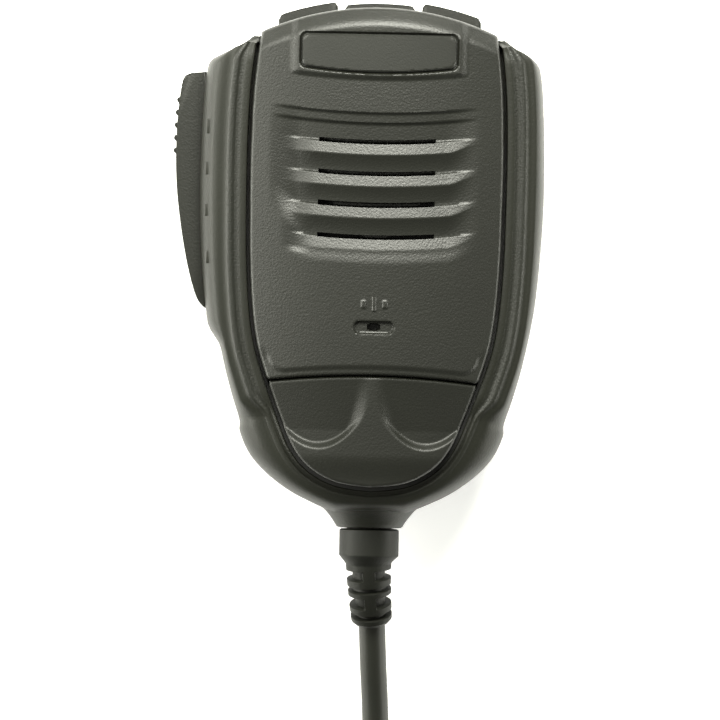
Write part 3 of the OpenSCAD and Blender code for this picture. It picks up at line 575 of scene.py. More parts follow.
@dataclass
class Form:
    """Main sizes and outlines in mm. All but the groove's width are the CAD model's.

    Attributes:
        top: Upper end of the panel along Y.
        back: Level of the flat back.
        split: Level where the two shells meet.
        rail: Level of the rails at the upper end.
        crown: Level of the panel's crown at the upper end.
        crown_r: Radius of the crown.
        tilt: Slope of the front, in degrees.
        bulge: Extra half width on the lever's side.
        groove: Width of the groove round the panel, which reads finer with rounded edges.
        seam_mid: Seam between panel and chin cover, on the middle line.
        seam_r: Radius of the seam.
        top_r: Radius of the upper edge.
        case_half: Right half of the case's outline, from the top down.
        panel_half: Right half of the panel's outline, from the top down.
    """

    top: float = 45.0
    back: float = 5.0
    split: float = 15.0
    rail: float = 32.0
    crown: float = 36.4
    crown_r: float = 75.0
    tilt: float = 3.5
    bulge: float = 1.6
    groove: float = 0.6
    seam_mid: float = -20.4
    seam_r: float = 150.0
    top_r: float = 51.6
    case_half: Points = (
        (22.3, 39.8), (24.4, 38.2), (27.6, 36.6), (29.1, 33.6), (29.8, 24), (30, 12), (29.6, 2),
        (28.7, -8), (27, -17.2), (25.2, -24), (23.7, -28.7), (23.6, -30.8), (21.9, -34.6),
        (18.9, -38), (14.6, -41.2), (9.8, -43.6), (6.5, -44.9),
    )
    panel_half: Points = (
        (21, 40.4), (22.1, 31), (22.5, 21), (22.5, 10), (22.3, 0), (21.7, -8.6), (20.8, -14.6),
        (19.3, -19.8), (16.3, -28), (13.8, -33.6), (10.6, -37.2), (6, -39.5), (0, -40.3),
    )

    def fall(self, y: np.ndarray) -> np.ndarray:
        """How far the tilted front has come down at a place along Y."""
        return (self.top - y) * math.tan(math.radians(self.tilt))

    def crown_z(self, x: np.ndarray, y: np.ndarray) -> np.ndarray:
        """Height of the crowned front at a place."""
        sag = self.crown_r - np.sqrt(self.crown_r**2 - np.square(x))
        return self.crown - self.fall(y) - sag / math.cos(math.radians(self.tilt))

    def rail_z(self, y: np.ndarray) -> np.ndarray:
        """Height of the rails at a place along Y."""
        return self.rail - self.fall(y)

    def arc(self, x: np.ndarray, top: float) -> np.ndarray:
        """The upper edge's arc."""
        return top - self.top_r + np.sqrt(self.top_r**2 - np.square(x))

    def seam(self, x: np.ndarray) -> np.ndarray:
        """Seam between panel and chin cover."""
        return self.seam_mid - self.seam_r + np.sqrt(self.seam_r**2 - np.square(x))

    def case_outline(self) -> np.ndarray:
        """Draws the case, wider by the bulge on the lever's side.

        Returns:
            The closed clockwise outline, evenly spaced.
        """
        right = smooth(self.case_half, 8)
        left = right[::-1] * [-1, 1]
        y = left[:, 1]
        left[:, 0] -= self.bulge * ease((y + 16) / 4.5) * ease((37.4 - y) / 2.4)
        x = np.linspace(-21.5, 21.5, 60)
        upper = np.stack([x, self.arc(x, self.top - 0.6)], 1)
        return resampled(np.vstack([right, left, upper]), 0.45)

    def panel_outline(self) -> np.ndarray:
        """Draws panel and chin cover together.

        Returns:
            The closed clockwise outline.
        """
        right = smooth(self.panel_half, 6)
        left = right[-2::-1] * [-1, 1]
        x = np.linspace(-20.4, 20.4, 50)
        return np.vstack([right, left, np.stack([x, self.arc(x, self.top)], 1)])

    def half_width(self, y: np.ndarray) -> np.ndarray:
        """Half width of the panel at a place along Y."""
        line = smooth(self.panel_half, 6)[::-1]
        return np.interp(y, line[:, 1], line[:, 0])


# ---- studio


@dataclass
class Studio:
    """Camera, lights and floor.

    Attributes:
        centre: Middle of the picture on the object, in mm.
        level: Level at which the picture's width is measured, in mm.
        width: Width of the picture at that level, in mm.
        lens: Focal length, in mm.
        roll: Turn of the camera about its own axis, in degrees.
        tint: Colour of the lights.
        ambient: Strength of the light from all round.
        ground: Half the floor's width, in mm.
        lamps: Name, place, aim and size in metres, and power in watts, of each soft light.
    """

    centre: tuple[float, float] = (-2.3, -17.6)
    level: float = 25.0
    width: float = 128.6
    lens: float = 400.0
    roll: float = 1.2
    tint: tuple[float, float, float] = (1.0, 1.0, 0.9)
    ambient: float = 0.24
    ground: float = 3000.0
    lamps: Sequence[tuple] = (
        ("key", (0.0, 0.19, 0.28), (0, 0.02, 0.03), (0.2, 0.12), 2.5),
        ("second key", (0.11, 0.26, 0.27), (0.012, 0.035, 0.03), (0.1, 0.08), 0.9),
        ("side", (-0.34, 0.04, 0.36), (0, 0.0, 0.03), (0.3, 0.2), 1.1),
        ("fill", (-0.7, 0.7, 0.95), (0, 0, 0.02), (0.5, 0.5), 9.0),
        ("left rim", (-0.55, -0.02, 0.12), (0, -0.01, 0.02), (0.6, 0.14), 4.5),
        ("right rim", (0.55, -0.02, 0.1), (0, -0.01, 0.02), (0.6, 0.12), 2.6),
    )

    def camera(self) -> None:
        """Places the camera straight above the front."""
        data = bpy.data.cameras.new("camera")
        data.lens = self.lens
        data.sensor_width = 36.0
        cam = bpy.data.objects.new("camera", data)
        away = self.level + self.width * self.lens / data.sensor_width
        cam.location = (self.centre[0] * MM, self.centre[1] * MM, away * MM)
        cam.rotation_euler = (0, 0, math.radians(self.roll))
        bpy.context.scene.collection.objects.link(cam)
        bpy.context.scene.camera = cam

    def light(self) -> None:
        """Adds the soft rectangular lights."""
        for name, place, aim, size, watts in self.lamps:
            data = bpy.data.lights.new(name, "AREA")
            data.shape = "RECTANGLE"
            data.size, data.size_y = size
            data.energy = watts
            data.color = self.tint
            obj = bpy.data.objects.new(name, data)
            obj.location = place
            way = Vector(aim) - Vector(place)
            obj.rotation_euler = way.to_track_quat("-Z", "Y").to_euler()
            bpy.context.scene.collection.objects.link(obj)

    def build(self) -> None:
        """Makes lights, world and floor."""
        self.light()
        world = bpy.data.worlds.new("studio")
        world.use_nodes = True
        sky = world.node_tree.nodes["Background"]
        sky.inputs["Color"].default_value = (*self.tint, 1)
        sky.inputs["Strength"].default_value = self.ambient
        bpy.context.scene.world = world
        # keeps the floor white and the plastic's dark tones apart
        bpy.context.scene.view_settings.view_transform = "Standard"
        bm = bmesh.new()
        bmesh.ops.create_grid(bm, x_segments=1, y_segments=1, size=self.ground)
        floor = finish_mesh("floor", bm, FLOOR)


# ---- cord


@dataclass
class Cord:
    """The cord with its coil, in mm. Its route is the one in the CAD source.

    Attributes:
        diameter: Diameter of the jacket.
        tip: Where it leaves the strain relief.
        coil_at: Centre of the coil.
        coil_r: Mean radius of the coil.
        turns: Turns in each of the two layers.
        lift: Level of the coil's underside.
        around: Points on each turn.
        laps: Turns in all, in and out again.
        way_in: Points from the strain relief to the coil.
        way_out: Points from the coil to the plug.
    """

    diameter: float = 4.8
    tip: Sequence[float] = (0.8, -64.6, 11.6)
    way_in: Points = (
        (1.2, -72, 9), (1.7, -80, 6.3), (2, -88, 4.2), (1.9, -96, 3), (1.5, -103, 2.5),
        (0.9, -110, 2.6), (0.3, -118, 3),
    )
    way_out: Points = (
        (-27, -96.3, 8), (-19, -96.1, 8), (-12, -96, 8.4), (-5, -95.9, 8.9), (2, -96.2, 9.1),
        (9, -97.6, 9), (15.5, -100.8, 8.9), (20.6, -105.8, 8.9), (23.8, -112, 9.1),
        (25.1, -118, 9.4), (25.4, -124, 9.4), (25.4, -131, 9.4), (25.4, -137, 9.4),
    )
    coil_at: tuple[float, float] = (-34.8, -131.0)
    coil_r: float = 27.6
    turns: int = 4
    lift: float = 0.8
    around: int = 20
    laps: float = 7.75

    def route(self) -> np.ndarray:
        """Lays the centre line: out of the relief, inwards below, outwards above, to the plug.

        Returns:
            All its points, in mm.
        """
        back = np.array(self.tip) + (-0.15, 2.4, 0.95)
        outer = self.coil_r + (self.turns - 1) * self.diameter / 2
        low = self.lift + self.diameter / 2
        inner_lap = self.laps / 2
        x, y = self.coil_at
        coil = []
        for i in range(int(self.laps * self.around) + 1):
            lap = i / self.around
            depth = min(lap, self.laps - lap) / inner_lap * (self.turns - 1) * self.diameter
            rise = float(ease((lap - inner_lap + 0.35) / 0.7)) * self.diameter
            turn = -2 * math.pi * lap
            r = outer - depth
            coil.append((x + r * math.cos(turn), y + r * math.sin(turn), low + rise))
        return np.vstack([[back], [self.tip], self.way_in, coil, self.way_out])

    def build(self) -> None:
        points = self.route() * MM
        curve = bpy.data.curves.new("cord_run", "CURVE")
        curve.dimensions = "3D"
        curve.bevel_depth = self.diameter / 2 * MM
        curve.bevel_resolution = 6
        curve.resolution_u = 6
        curve.use_fill_caps = True
        line = curve.splines.new("BEZIER")
        line.bezier_points.add(len(points) - 1)
        for knot, p in zip(line.bezier_points, points):
            knot.co = p
            knot.handle_left_type = knot.handle_right_type = "AUTO"
        curve.materials.append(JACKET.make())
        obj = bpy.data.objects.new("cord_run", curve)
        bpy.context.scene.collection.objects.link(obj)
        settle(obj, "root", Slot.JACKET, "cord", "cord_coil", "cord_end", "cord_entry")


@dataclass
class StrainRelief:
    """Moulded strain relief: a collar, then a bent part with cut windows, in mm.

    Attributes:
        face: Place of the neck's face along Y.
        within: Length inside the neck.
        out: Length outside it.
        step: Distance from ring to ring.
        around: Points on a ring.
        windows: Place, width and depth of each cut, and whether it runs all the way round.
    """

    face: float = -47.9
    within: float = 2.5
    out: float = 17.4
    step: float = 0.11
    around: int = 72
    windows: Sequence[tuple[float, float, float, bool]] = (
        (8.0, 1.3, 1.1, False), (10.4, 0.6, 1.0, True), (12.7, 1.6, 1.2, False),
        (15.2, 0.7, 1.1, True),
    )

    def axis(self) -> np.ndarray:
        """Lays the bent axis from inside the neck to the tip.

        Returns:
            Its points.
        """
        knots = (
            (0, -44.5, 15), (0, -48, 15), (0, -51.7, 15), (0, -54.1, 14.9), (0.15, -57.1, 14.35),
            (0.45, -60.9, 13.2), (0.8, -64.6, 11.6), (0.95, -66.6, 10.75),
        )
        return smooth(knots, 24)

    def radius(self, s: float, turn: np.ndarray) -> np.ndarray:
        """Radius at a distance down the axis, for each direction round it.

        Args:
            s: Distance from the neck's face, in mm.
            turn: Direction round the axis, with 0 at the side and a quarter turn at the front.

        Returns:
            The radius for each direction.
        """
        run = (0, 0.25, 0.5, 4.8, 5.9, 6.2, 16.6, 17.3)
        body = np.interp(s, run, (5.0, 5.35, 5.35, 5.35, 4.3, 4.1, 3.7, 3.1))
        r = np.full_like(turn, float(body))
        side = np.abs(np.cos(turn))
        for at, wide, deep, whole in self.windows:
            near = ease((wide / 2 + 0.18 - abs(s - at)) / 0.22)
            r -= deep * near * (1.0 if whole else ease((side - 0.26) / 0.12))
        return np.maximum(r, 2.62)

    def build(self) -> None:
        """Makes the relief as one tube round its bent axis."""
        line = self.axis()
        run = np.concatenate([[0], np.cumsum(np.linalg.norm(np.diff(line, axis=0), axis=1))])
        face = float(np.interp(-self.face, -line[:, 1], run))
        turn = np.linspace(0, 2 * math.pi, self.around, endpoint=False)
        rings = []
        for at in np.arange(face - self.within, face + self.out, self.step):
            c = np.array([np.interp(at, run, line[:, k]) for k in range(3)])
            d = np.array([np.interp(at + 0.3, run, line[:, k]) for k in range(3)]) - c
            d = d / max(np.linalg.norm(d), 1e-9)
            u = np.cross(d, [0, 0, 1])
            u /= np.linalg.norm(u)
            v = np.cross(u, d)
            s = at - face
            r = (self.radius(s, turn) if s > 0 else np.full_like(turn, 4.0))[:, None]
            rings.append(c + np.cos(turn)[:, None] * r * u + np.sin(turn)[:, None] * r * v)
        settle(loft("relief_moulding", rings, RELIEF_TPE), "root", Slot.RELIEF, "strain_relief")


# ---- front


@dataclass
class Louvre:
    """Curved louvres of the speaker grille, in mm.

    Attributes:
        first: First slot, on the middle line.
        pitch: Distance from one slot to the next.
        count: Number of slots.
        slot_l: Length of a slot.
        slot_h: Height of a slot.
        bend: Radius of the arcs, which hang down in the middle.
        top: Upper edge of the recess, on the middle line.
        second: Foot of the recess's first step, on the middle line.
        left: Left end of the recess.
        deep: Depth of the recess at the slots.
        cut: Depth of the slots below it.
    """

    first: float = 21.1
    pitch: float = 5.63
    count: int = 4
    slot_l: float = 20.8
    slot_h: float = 0.7
    bend: float = 130.0
    top: float = 26.4
    second: float = 24.6
    left: float = -19.4
    deep: float = 1.25
    cut: float = 2.6

    def rows(self) -> list[float]:
        """Rows that the grid needs for crisp edges.

        Returns:
            Their places along Y.
        """
        out = [self.top - 0.3, self.top]
        half = self.slot_h / 2
        for i in range(self.count):
            y = self.first - i * self.pitch
            out += [y + half + 0.04, y + half, y - half, y - half - 0.04]
        return out

    def change(self, x: np.ndarray, y: np.ndarray) -> np.ndarray:
        """Change of height against the crown.

        Args:
            x: Places along X.
            y: Places along Y.

        Returns:
            The change at each place, below 0 in the recess.
        """
        # level of the arc that runs through each place, and shares of the blades' tips
        flat = y - np.square(x) / (2 * self.bend)
        tip = ease((x - 12.5) / 5.6)
        blade = ease((x + 17.2) / 6.4)
        low = self.first - (self.count - 1) * self.pitch - 2.4
        left = ease((x - self.left) / 5.6)
        right = 1 - ease((x - 12.0) / 6.4)
        ends = ease((self.slot_l / 2 - np.abs(x)) / 0.3)
        depth, slots = np.zeros_like(x), np.zeros_like(x)
        # upper ramp: a lip, a slope, a second lip and the slope down to the first slot
        lip, second = self.top, self.second
        ramp = np.where(
            flat > second,
            0.45 * ease((lip - flat) / 0.5) + 0.1 * (lip - flat) / (lip - second),
            0.55
            + 0.5 * ease((second - flat) / 0.5)
            + (self.deep - 1.05) * (second - flat) / (second - self.first),
        )
        region = (flat <= lip) & (flat > self.first)
        depth[region] = ramp[region]
        # blades: up from each slot to a crest and down to the next slot
        for i in range(self.count):
            slot = self.first - i * self.pitch
            slots = np.where(np.abs(flat - slot) <= self.slot_h / 2 + 0.001, ends, slots)
            crest = slot - 2.3 + 1.4 * tip
            following = slot - self.pitch
            last = i == self.count - 1
            up = (flat <= slot) & (flat > crest)
            rise = (slot - flat) / np.maximum(slot - crest, 0.2)
            high = 0.3 if last else 0.4
            start = high * blade + self.deep * (1 - blade)
            even = 0.38 * ease((slot - flat) / 0.35) + 0.62 * rise
            depth[up] = (self.deep + (start - self.deep) * even)[up]
            if last:
                fall = (flat <= crest) & (flat > low - 2.4)
                end = self.deep * (1 - blade) * (1 - ease((crest - flat) / 1.6))
                depth[fall] = (high * lobe((crest - flat) / 2.6) * blade + end)[fall]
            else:
                down = (flat <= crest) & (flat > following)
                part = (crest - flat) / (crest - following)
                sink = 1 - np.clip(1 - part, 0, 1) ** 1.8
                depth[down] = (start + (self.deep - start) * sink)[down]
        corner = ease((flat - low - 0.6 * np.maximum(-10.0 - x, 0)) / 6.0)
        depth = depth * left * right * (blade + (1 - blade) * corner)
        return -depth - self.cut * slots


@dataclass
class Front:
    """Panel, chin cover and name plate, in mm.

    Attributes:
        form: Main sizes.
        louvre: Louvres of the grille.
        step: Distance between the grid's lines.
        mic_y: Place of the microphone hole along Y.
        plate_half: Half width of the name plate.
        edge: Radius of the pieces' rims.
        under: Level of their undersides.
    """

    form: Form
    louvre: Louvre = field(default_factory=Louvre)
    step: float = 0.2
    mic_y: float = -11.8
    plate_half: float = 13.7
    edge: float = 0.55
    under: float = 24.0

    @staticmethod
    def edge_drop(x: np.ndarray, y: np.ndarray, outline: np.ndarray, r: float) -> np.ndarray:
        """Fall of the surface towards an outline, as an edge of radius r."""
        t = np.clip(r - nearest(np.stack([x, y], 1), outline)[1], 0, r)
        return r - np.sqrt(np.maximum(r * r - t * t, 0))

    def surround(self, x: np.ndarray, y: np.ndarray) -> np.ndarray:
        """Raised surround of the name plate with the slope behind it.

        Args:
            x: Places along X.
            y: Places along Y.

        Returns:
            The change of height at each place.
        """
        ax = np.abs(x)
        bottom = 32.3 + 0.9 * np.square(ax / 15.1)
        rise = ease((16.0 - ax) / 1.7) * ease((y - bottom + 0.4) / 1.0)
        back = self.form.arc(x, self.form.top) - 3.6
        slope = 2.3 * ease((y - back) / 4.6)
        return 0.5 * rise - slope

    def plate_outline(self, grow: float) -> np.ndarray:
        """Outline of the name plate, whose lower edge sags.

        Args:
            grow: How far it stands off the plate.

        Returns:
            The closed outline.
        """
        w = self.plate_half + grow
        top, low, r = 40.1 + grow, 34.1 - grow, 1.1
        turn = np.linspace(0, math.pi / 2, 7)
        c, d = r * np.cos(turn), r * np.sin(turn)
        left = np.stack([-w + r - c, top - r + d], 1)
        foot = np.stack([-w + r - d, low + 0.3 + r - c], 1)
        x = np.linspace(-w + r, w - r, 40)
        sag = low + 0.3 - 0.9 * (1 - np.square(x / (w - r)))
        base = np.stack([x[::-1], sag[::-1]], 1)[1:-1]
        return np.vstack([foot, left, left[::-1] * [-1, 1], foot[::-1] * [-1, 1], base])

    def panel_height(self, x: np.ndarray, y: np.ndarray, outline: np.ndarray) -> np.ndarray:
        """Height of the speaker panel.

        Args:
            x: Places along X.
            y: Places along Y.
            outline: Outline of the panel.

        Returns:
            The height at each place.
        """
        z = self.form.crown_z(x, y) + self.louvre.change(x, y) + self.surround(x, y)
        frame = self.plate_outline(0.25)
        spot = np.stack([x, y], 1)
        _, off = nearest(spot, frame)
        z = z - 0.6 * ease(np.where(inside(spot, frame), off, -off) / 0.5 + 0.6)
        # microphone recess and hole
        lens = np.hypot(np.maximum(np.abs(x) - 2.45, 0), y - self.mic_y)
        z = z - 0.75 * ease((1.25 - lens) / 0.35)
        hole = np.hypot(np.maximum(np.abs(x) - 0.55, 0), y - self.mic_y - 0.1)
        z = z - 1.8 * (hole < 0.55)
        # plain mark: three raised bars
        for at, tall in ((-1.9, 0.75), (0.0, 1.3), (1.9, 0.75)):
            bar = ease((0.42 - np.abs(x - at)) / 0.15) * ease((tall - np.abs(y + 7.7)) / 0.15)
            z = z + 0.22 * bar
        # lower border: a step above the seam that runs up both sides
        wide = self.form.half_width(y)
        sides = (wide - np.abs(x) - 1.5) + 1.6 * ease((y + 17.5) / 6)
        below = y - self.form.seam(x) - 1.5
        radius = 2.2
        a, b = np.maximum(radius - sides, 0), np.maximum(radius - below, 0)
        gap = radius - np.hypot(a, b)
        z = z - 0.34 * (1 - ease((gap + 0.5) / 1.0)) * ease((-15 - y) / 3.2)
        return z - self.edge_drop(x, y, outline, self.edge)

    def chin_height(self, x: np.ndarray, y: np.ndarray, outline: np.ndarray) -> np.ndarray:
        """Height of the chin cover, with its two scoops and the ridge between them.

        Args:
            x: Places along X.
            y: Places along Y.
            outline: Outline of the cover.

        Returns:
            The height at each place.
        """
        z = self.form.crown_z(x, y) - 0.65
        ridge = np.interp(-y, (21, 25, 29, 31, 32.5, 34), (0.0, 0.5, 1.4, 2.5, 3.9, 6.0))
        lip = -34.9 + 0.085 * np.square(np.abs(x) - 9.6)
        across = ease((np.abs(x) - ridge) / 2.8)
        along = np.clip((-20.6 - y) / 9.5, 0, 1) ** 0.85
        z = z - 1.2 * across * along * ease((y - lip - 1.2) / 1.5)
        z = z - 0.9 * ease((-34.4 - y) / 5.5)
        return z - self.edge_drop(x, y, outline, self.edge)

    def build(self) -> None:
        """Makes the three pieces."""
        form, play = self.form, 0.12
        w = float(form.half_width(np.array(form.seam_mid - 1.2)))
        x = np.linspace(-20.2, 20.2, 90)
        seam = np.stack([x, form.seam(x)], 1)[np.abs(x) < w - 0.05]
        x = np.linspace(-20.4, 20.4, 50)
        upper = np.stack([x, form.arc(x, form.top)], 1)
        side = smooth(form.panel_half, 6)
        above = side[side[:, 1] > form.seam(side[:, 0]) + play]
        below = side[side[:, 1] < form.seam(side[:, 0]) - play]
        panel = np.vstack([above, (seam + [0, play])[::-1], above[::-1] * [-1, 1], upper])
        chin = np.vstack([below, (below[:-1] * [-1, 1])[::-1], seam - [0, play]])
        plate = self.plate_outline(0.0)
        xs = np.arange(-23, 23.01, self.step)
        # the rows are finer where the name plate's lower edge and the slots run
        fine = [np.arange(32.4, 35.2, 0.1), self.louvre.rows()]
        rows = np.unique(np.round(np.concatenate([np.arange(-24, 47, self.step), *fine]), 3))
        rows = rows[np.concatenate([[True], np.diff(rows) > 0.035])]
        bend, arc = 2 * self.louvre.bend, 2 * form.seam_r

        def panel_warp(gx: np.ndarray, gy: np.ndarray) -> np.ndarray:
            """Bends the rows along the slots and, lower down, along the seam."""
            slots = ease((31 - gy) / 3) * ease((gy + 3) / 3) / bend
            return np.square(gx) * (slots - ease((-13 - gy) / 4) / arc)

        def plate_height(px: np.ndarray, py: np.ndarray) -> np.ndarray:
            """Height of the name plate, which follows its surround."""
            slope = 2.3 * ease((py - form.arc(px, form.top) + 3.9) / 5.0)
            return form.crown_z(px, py) - slope + 0.62 - self.edge_drop(px, py, plate, 0.25)

        made = field_mesh(
            "panel_moulding", panel, xs, rows, panel_warp,
            lambda px, py: self.panel_height(px, py, panel), self.under, ABS_PANEL,
        )
        settle(made, "root", Slot.PANEL, "front_panel")
        made = field_mesh(
            "chin_moulding", chin, xs, np.arange(-42, -18, self.step),
            lambda gx, gy: -np.square(gx) / arc * ease((gy + 28) / 4),
            lambda px, py: self.chin_height(px, py, chin), self.under, ABS_CHIN,
        )
        settle(made, "root", Slot.PANEL, "chin_cover")
        made = field_mesh(
            "nameplate_film", plate, np.arange(-15, 15.01, 0.3), np.arange(32, 41.5, 0.2),
            lambda gx, gy: gx * 0, plate_height, 31.0, PLATE,
        )
        settle(made, "root", Slot.PLATE, "nameplate")


# ---- case


@dataclass
class Case:
    """The two shells with their rails and the neck, in mm.

    Attributes:
        form: Main sizes.
        wells: Places of the case screws' wells.
        well_r: Radius of a well.
        guard: Ring of the front shell on whose shoulder the guard strip's marks sit.
        windows: Name, box and levels of the openings for the lever and the keys.
    """

    form: Form
    wells: Points = ((20.5, 30.5), (-20.5, 30.5), (13.6, -30.4), (-13.6, -30.4))
    well_r: float = 2.4
    guard: int = 21
    windows: Sequence[tuple] = (
        ("lever_window", (-50, -21.8, -9.7, 34.4), (8.6, 22.4)),
        ("key_window", (-18.6, 18.6, 37.0, 50.0), (11.55, 21.05)),
    )

    @staticmethod
    def section(detail: float, wide: float) -> list[tuple[float, float, int]]:
        """Cross-section of a rail from the groove to the side wall.

        Args:
            detail: 1 where the rail has its bead and channel, 0 where it is plain.
            wide: Distance from the groove to the side wall.

        Returns:
            Distance from the groove, height against the rail's plane, and 1 for the bead.
        """
        fancy = (
            (0.0, -4.0, 0), (0.0, -0.4, 0), (0.1, -0.12, 0), (0.35, 0.0, 0), (0.9, 0.0, 0),
            (1.3, -0.1, 1), (1.7, -0.28, 1), (2.1, -0.36, 1), (2.35, -0.25, 1), (2.6, -0.06, 1),
            (2.95, 0.0, 1), (3.3, -0.08, 1), (3.55, -0.28, 1), (3.8, -0.5, 0), (4.2, -0.68, 0),
            (4.6, -0.72, 0), (4.95, -0.75, 0),
        )
        flat = (
            (0.0, -4.0), (0.0, -0.7), (0.1, -0.35), (0.3, -0.25), (0.55, -0.4), (0.75, -0.6),
            (0.95, -0.62), (1.1, -0.5), (1.25, -0.42), (1.4, -0.4), (1.5, -0.42), (1.6, -0.45),
            (1.7, -0.5), (1.8, -0.55), (1.9, -0.6), (2.0, -0.68), (2.1, -0.75),
        )
        out = [
            (d0 + (d1 - d0) * detail, z0 + (z1 - z0) * detail, tag)
            for (d1, z1, tag), (d0, z0) in zip(fancy, flat)
        ]
        start_d, start_z, _ = out[-1]
        for k in range(1, 13):
            a = math.pi / 2 * k / 12
            side = start_d + (wide - start_d) * math.sin(a)
            out.append((side, start_z - 7.0 * (1 - math.cos(a)), 0))
        return out

    def rings(self) -> tuple[list[np.ndarray], np.ndarray, list[int]]:
        """Rings of the front shell, from the groove round the panel out to the side wall.

        Returns:
            The rings, the case's outline, and 1 for each ring on the bead.
        """
        form = self.form
        outline = form.case_outline()
        x, y = outline.T
        groove = outset(resampled(form.panel_outline(), 0.5), form.groove)
        inner, _ = nearest(outline, groove)
        # along the upper edge the shell is a narrow band that points at the case's middle
        top = (y > form.arc(x, form.top) - 1.6) & (np.abs(x) < 22.2)
        away = np.array([0.0, 10.0]) - outline[top]
        inner[top] = outline[top] + away / np.linalg.norm(away, axis=1)[:, None] * 1.6
        near = lobe((np.abs(x) - 22.2) / 3.6)[:, None] * (y > 34)[:, None]
        inner = inner * (1 - near) + self.averaged(inner, 5) * near
        share = self.averaged(top.astype(float)[:, None], 4)[:, 0]
        span = np.linalg.norm(outline - inner, axis=1)
        unit = (outline - inner) / np.maximum(span, 1e-6)[:, None]
        detail = ease((y + 30.0) / 5.0) * ease((39.5 - y) / 3.5)
        table = np.array([self.section(float(d), w) for d, w in zip(detail, span)])
        level = form.rail_z(y)
        rings = []
        for d, z in zip(table[:, :, 0].T, table[:, :, 1].T):
            xy = inner + unit * np.minimum(d, span)[:, None]
            height = level + z + share * (np.minimum(level + z, 26.6) - level - z)
            rings.append(np.column_stack([xy, height]))
        return rings, outline, [int(tag) for tag in table[0, :, 2]]

    @staticmethod
    def averaged(rows: np.ndarray, reach: int) -> np.ndarray:
        """Averages each row of a ring with its neighbours on both sides."""
        return sum(np.roll(rows, k, 0) for k in range(-reach, reach + 1)) / (2 * reach + 1)

    def build(self) -> None:
        """Makes both shells and cuts their openings."""
        rings, outline, tags = self.rings()
        split, back = self.form.split, self.form.back

        def walls(steps: Points) -> list[np.ndarray]:
            """Rings of a side wall, from the level and the inset of each."""
            flat = [(self.toward_centre(outline, by), z) for z, by in steps]
            return [np.column_stack([ring, np.full(len(ring), z)]) for ring, z in flat]

        def bead(j: int, i: int) -> int:
            """Material slot of a face of the front shell."""
            both = j < len(tags) - 1 and tags[j] and tags[j + 1]
            return int(both and -28.0 < outline[i][1] < 39.0)

        # the seam is a groove of 0.35 mm with eased edges
        seam = ((0.35, 0.0), (0.2, 0.1), (0.1, 0.35))
        sides = [(17.2, 0.0), *((split + z, by) for z, by in seam), (split + 0.02, 0.35)]
        front = loft("front_shell", rings + walls(sides), ABS_CASE, bead, [ABS_BEAD])
        turned = (
            (12.5, 0.0), (10.5, 0.15), (9.0, 0.55), (7.7, 1.3), (6.6, 2.4), (5.8, 3.8), (5.25, 5.4),
            (back, 7.2),
        )
        sides = [(split, 0.35), *((split - z, by) for z, by in seam[::-1]), *turned]
        rear = loft("rear_shell", walls(sides), ABS_CASE)
        wells = []
        turn = np.linspace(0, 2 * math.pi, 40)[:-1]
        for x, y in self.wells:
            ring = [(x + self.well_r * math.cos(a), y + self.well_r * math.sin(a)) for a in turn]
            wells.append(prism("well", ring, 2.0, 7.4, SHADE))
        for obj, more in ((front, []), (rear, wells)):
            cutters = [prism(name, box_points(*box), *z, SHADE) for name, box, z in self.windows]
            cut(obj, cutters + more)
        settle(front, "root", Slot.CASE, "front_case")
        settle(rear, "root", Slot.CASE, "rear_case")
        self.neck()
        self.marks(rings[self.guard])

    @staticmethod
    def toward_centre(outline: np.ndarray, by: float) -> np.ndarray:
        """Moves every point of the outline towards the middle by a distance, in mm."""
        return outline * (1 - by / np.linalg.norm(outline, axis=1)[:, None])

    @staticmethod
    def neck() -> None:
        """Makes the round neck at the lower end."""
        turn = np.linspace(0, 2 * math.pi, 64, endpoint=False)
        middle, front = 15, np.sin(turn) > 0
        rings = []
        for y, r in (
            (-40.0, 12.0), (-42.2, 10.4), (-43.8, 8.9), (-45.0, 7.7), (-46.0, 6.9), (-46.9, 6.3),
            (-47.5, 5.95), (-47.7, 5.6), (-47.7, 4.05), (-44.0, 4.05),
        ):
            tall = np.where(front, min(r, 10.6), min(r, 7.0))
            rings.append(
                np.stack([r * np.cos(turn), np.full_like(turn, y), middle + tall * np.sin(turn)], 1)
            )
        settle(loft("neck_moulding", rings, ABS_CASE), "root", Slot.CASE)

    @staticmethod
    def marks(ring: np.ndarray) -> None:
        """Makes the small plain marks on the guard strip beside the lever.

        Args:
            ring: Ring of the front shell that runs along the strip.
        """
        left = ring[ring[:, 0] < 0]
        for k, (y, tall) in enumerate(((23.5, 1.3), (16.0, 1.1), (8.6, 1.1), (0.2, 1.1))):
            x, _, z = left[int(np.argmin(np.abs(left[:, 1] - y)))]
            around = box_points(x - 0.35, x + 0.35, y - tall, y + tall)
            bar = prism(f"guard_mark_{k}", around, z - 0.8, z + 0.12, ABS_CASE, 0.12)
            settle(bar, "root", Slot.CASE)


# ---- lever and keys


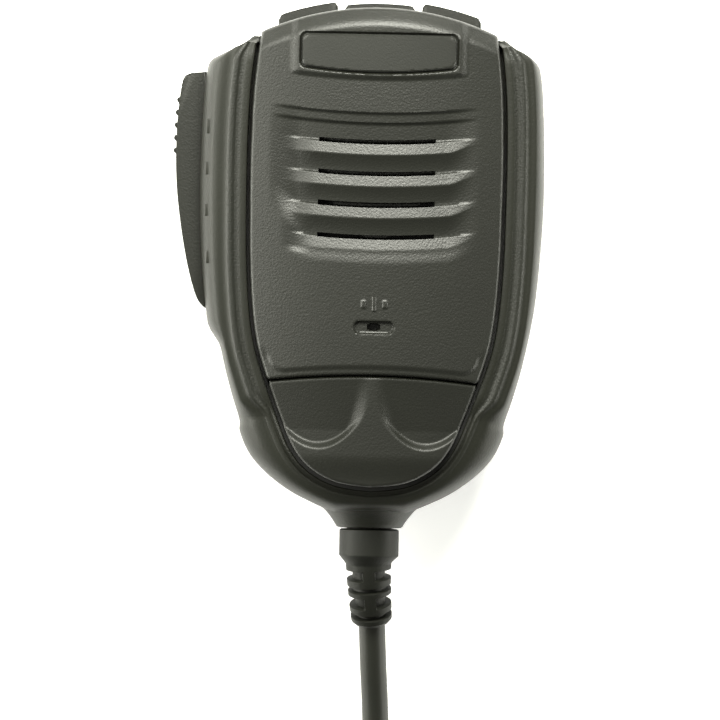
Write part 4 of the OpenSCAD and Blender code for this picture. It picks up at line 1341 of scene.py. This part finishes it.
@dataclass
class Lever:
    """Talk lever on the left side, in mm.

    Attributes:
        low: Its lower level.
        high: Its upper level.
        edge: Its outer edge, from the lower end up.
        inner: Its inner edge, from the upper end down.
        nubs: Number of grip nubs.
        nub_y: First nub along Y.
        nub_gap: Distance from nub to nub.
    """

    low: float = 9.0
    high: float = 22.0
    edge: Points = (
        (-30.4, -8.8), (-31.8, -7), (-33.2, -2.6), (-34.4, 3), (-35.4, 9.5), (-35.9, 15),
        (-36, 20), (-35.8, 26), (-35.1, 31.6), (-34.0, 33.0), (-31, 33.4),
    )
    inner: Points = ((-28.8, 33.6), (-28.6, 12), (-27.6, 1), (-24.4, -2), (-24.2, -7), (-27, -8.6))
    nubs: int = 5
    nub_y: float = 19.3
    nub_gap: float = 2.27

    def build(self) -> None:
        """Makes the lever with its grip nubs."""
        outer = smooth(self.edge, 6)
        shape = np.vstack([outer, self.inner])
        body = prism("lever_cap", shape, self.low, self.high, ABS_LEVER, 0.9)
        settle(body, "ptt_lever", Slot.CASE, "talk_lever")
        turn = np.linspace(0, 2 * math.pi, 20, endpoint=False)
        for k in range(self.nubs):
            y = self.nub_y + k * self.nub_gap
            x = float(np.interp(y, outer[:, 1], outer[:, 0]))
            ring = np.stack([x + 0.5 * np.cos(turn), y + 0.5 * np.sin(turn)], 1)
            nub = prism(f"lever_nub_{k}", ring, self.low + 1.6, self.high - 1.6, ABS_LEVER, 0.2)
            settle(nub, "ptt_lever", Slot.CASE)


@dataclass
class Keys:
    """Three keys on the top wall, in mm.

    Attributes:
        form: Main sizes.
        low: Their lower level.
        high: Their upper level.
        end: Length of a rounded end.
        places: Name, left end, right end and how far it stands out, of each key.
    """

    form: Form
    low: float = 11.8
    high: float = 20.8
    end: float = 0.7
    places: Sequence[tuple[str, float, float, float]] = (
        ("left", -18.15, -7.55, 2.6), ("middle", -6.35, 6.35, 1.9), ("right", 7.55, 18.15, 2.6),
    )

    def build(self) -> None:
        """Makes the three keys."""
        r = self.form.top_r
        centre = self.form.top - 0.6 - r
        for side, x0, x1, out in self.places:
            x = np.linspace(x0, x1, 24)
            top = centre + np.sqrt((r + out) ** 2 - np.square(x))
            for t in ((x0 + self.end - x) / self.end, (x - x1 + self.end) / self.end):
                top = top - 0.75 * (1 - np.sqrt(1 - np.square(np.clip(t, 0, 1))))
            low = centre + np.sqrt((r - 3.0) ** 2 - np.square(x))
            outline = np.vstack([np.stack([x, top], 1), np.stack([x[::-1], low[::-1]], 1)])
            cap = prism(f"key_cap_{side}", outline, self.low, self.high, ABS_KEY, 0.45)
            settle(cap, f"key_{side}", Slot.KEY, f"{side}_key")


def dress(frame: dict) -> None:
    """Gives the CAD pieces that stay their finishes.
    """
    for part in frame["record"]["subparts"]:
        obj = frame["nodes"][part["node"]]
        for place in obj.material_slots:
            place.link = "OBJECT"
            place.material = LOOKS[part["material_slot"]].make()


def main() -> None:
    """Builds the whole scene."""
    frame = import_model()
    studio = Studio()
    studio.camera()
    Cord().build()
    StrainRelief().build()
    form = Form()
    Front(form).build()
    Case(form).build()
    Lever().build()
    Keys(form).build()
    dress(frame)
    studio.build()


if __name__ == "__main__":
    main()
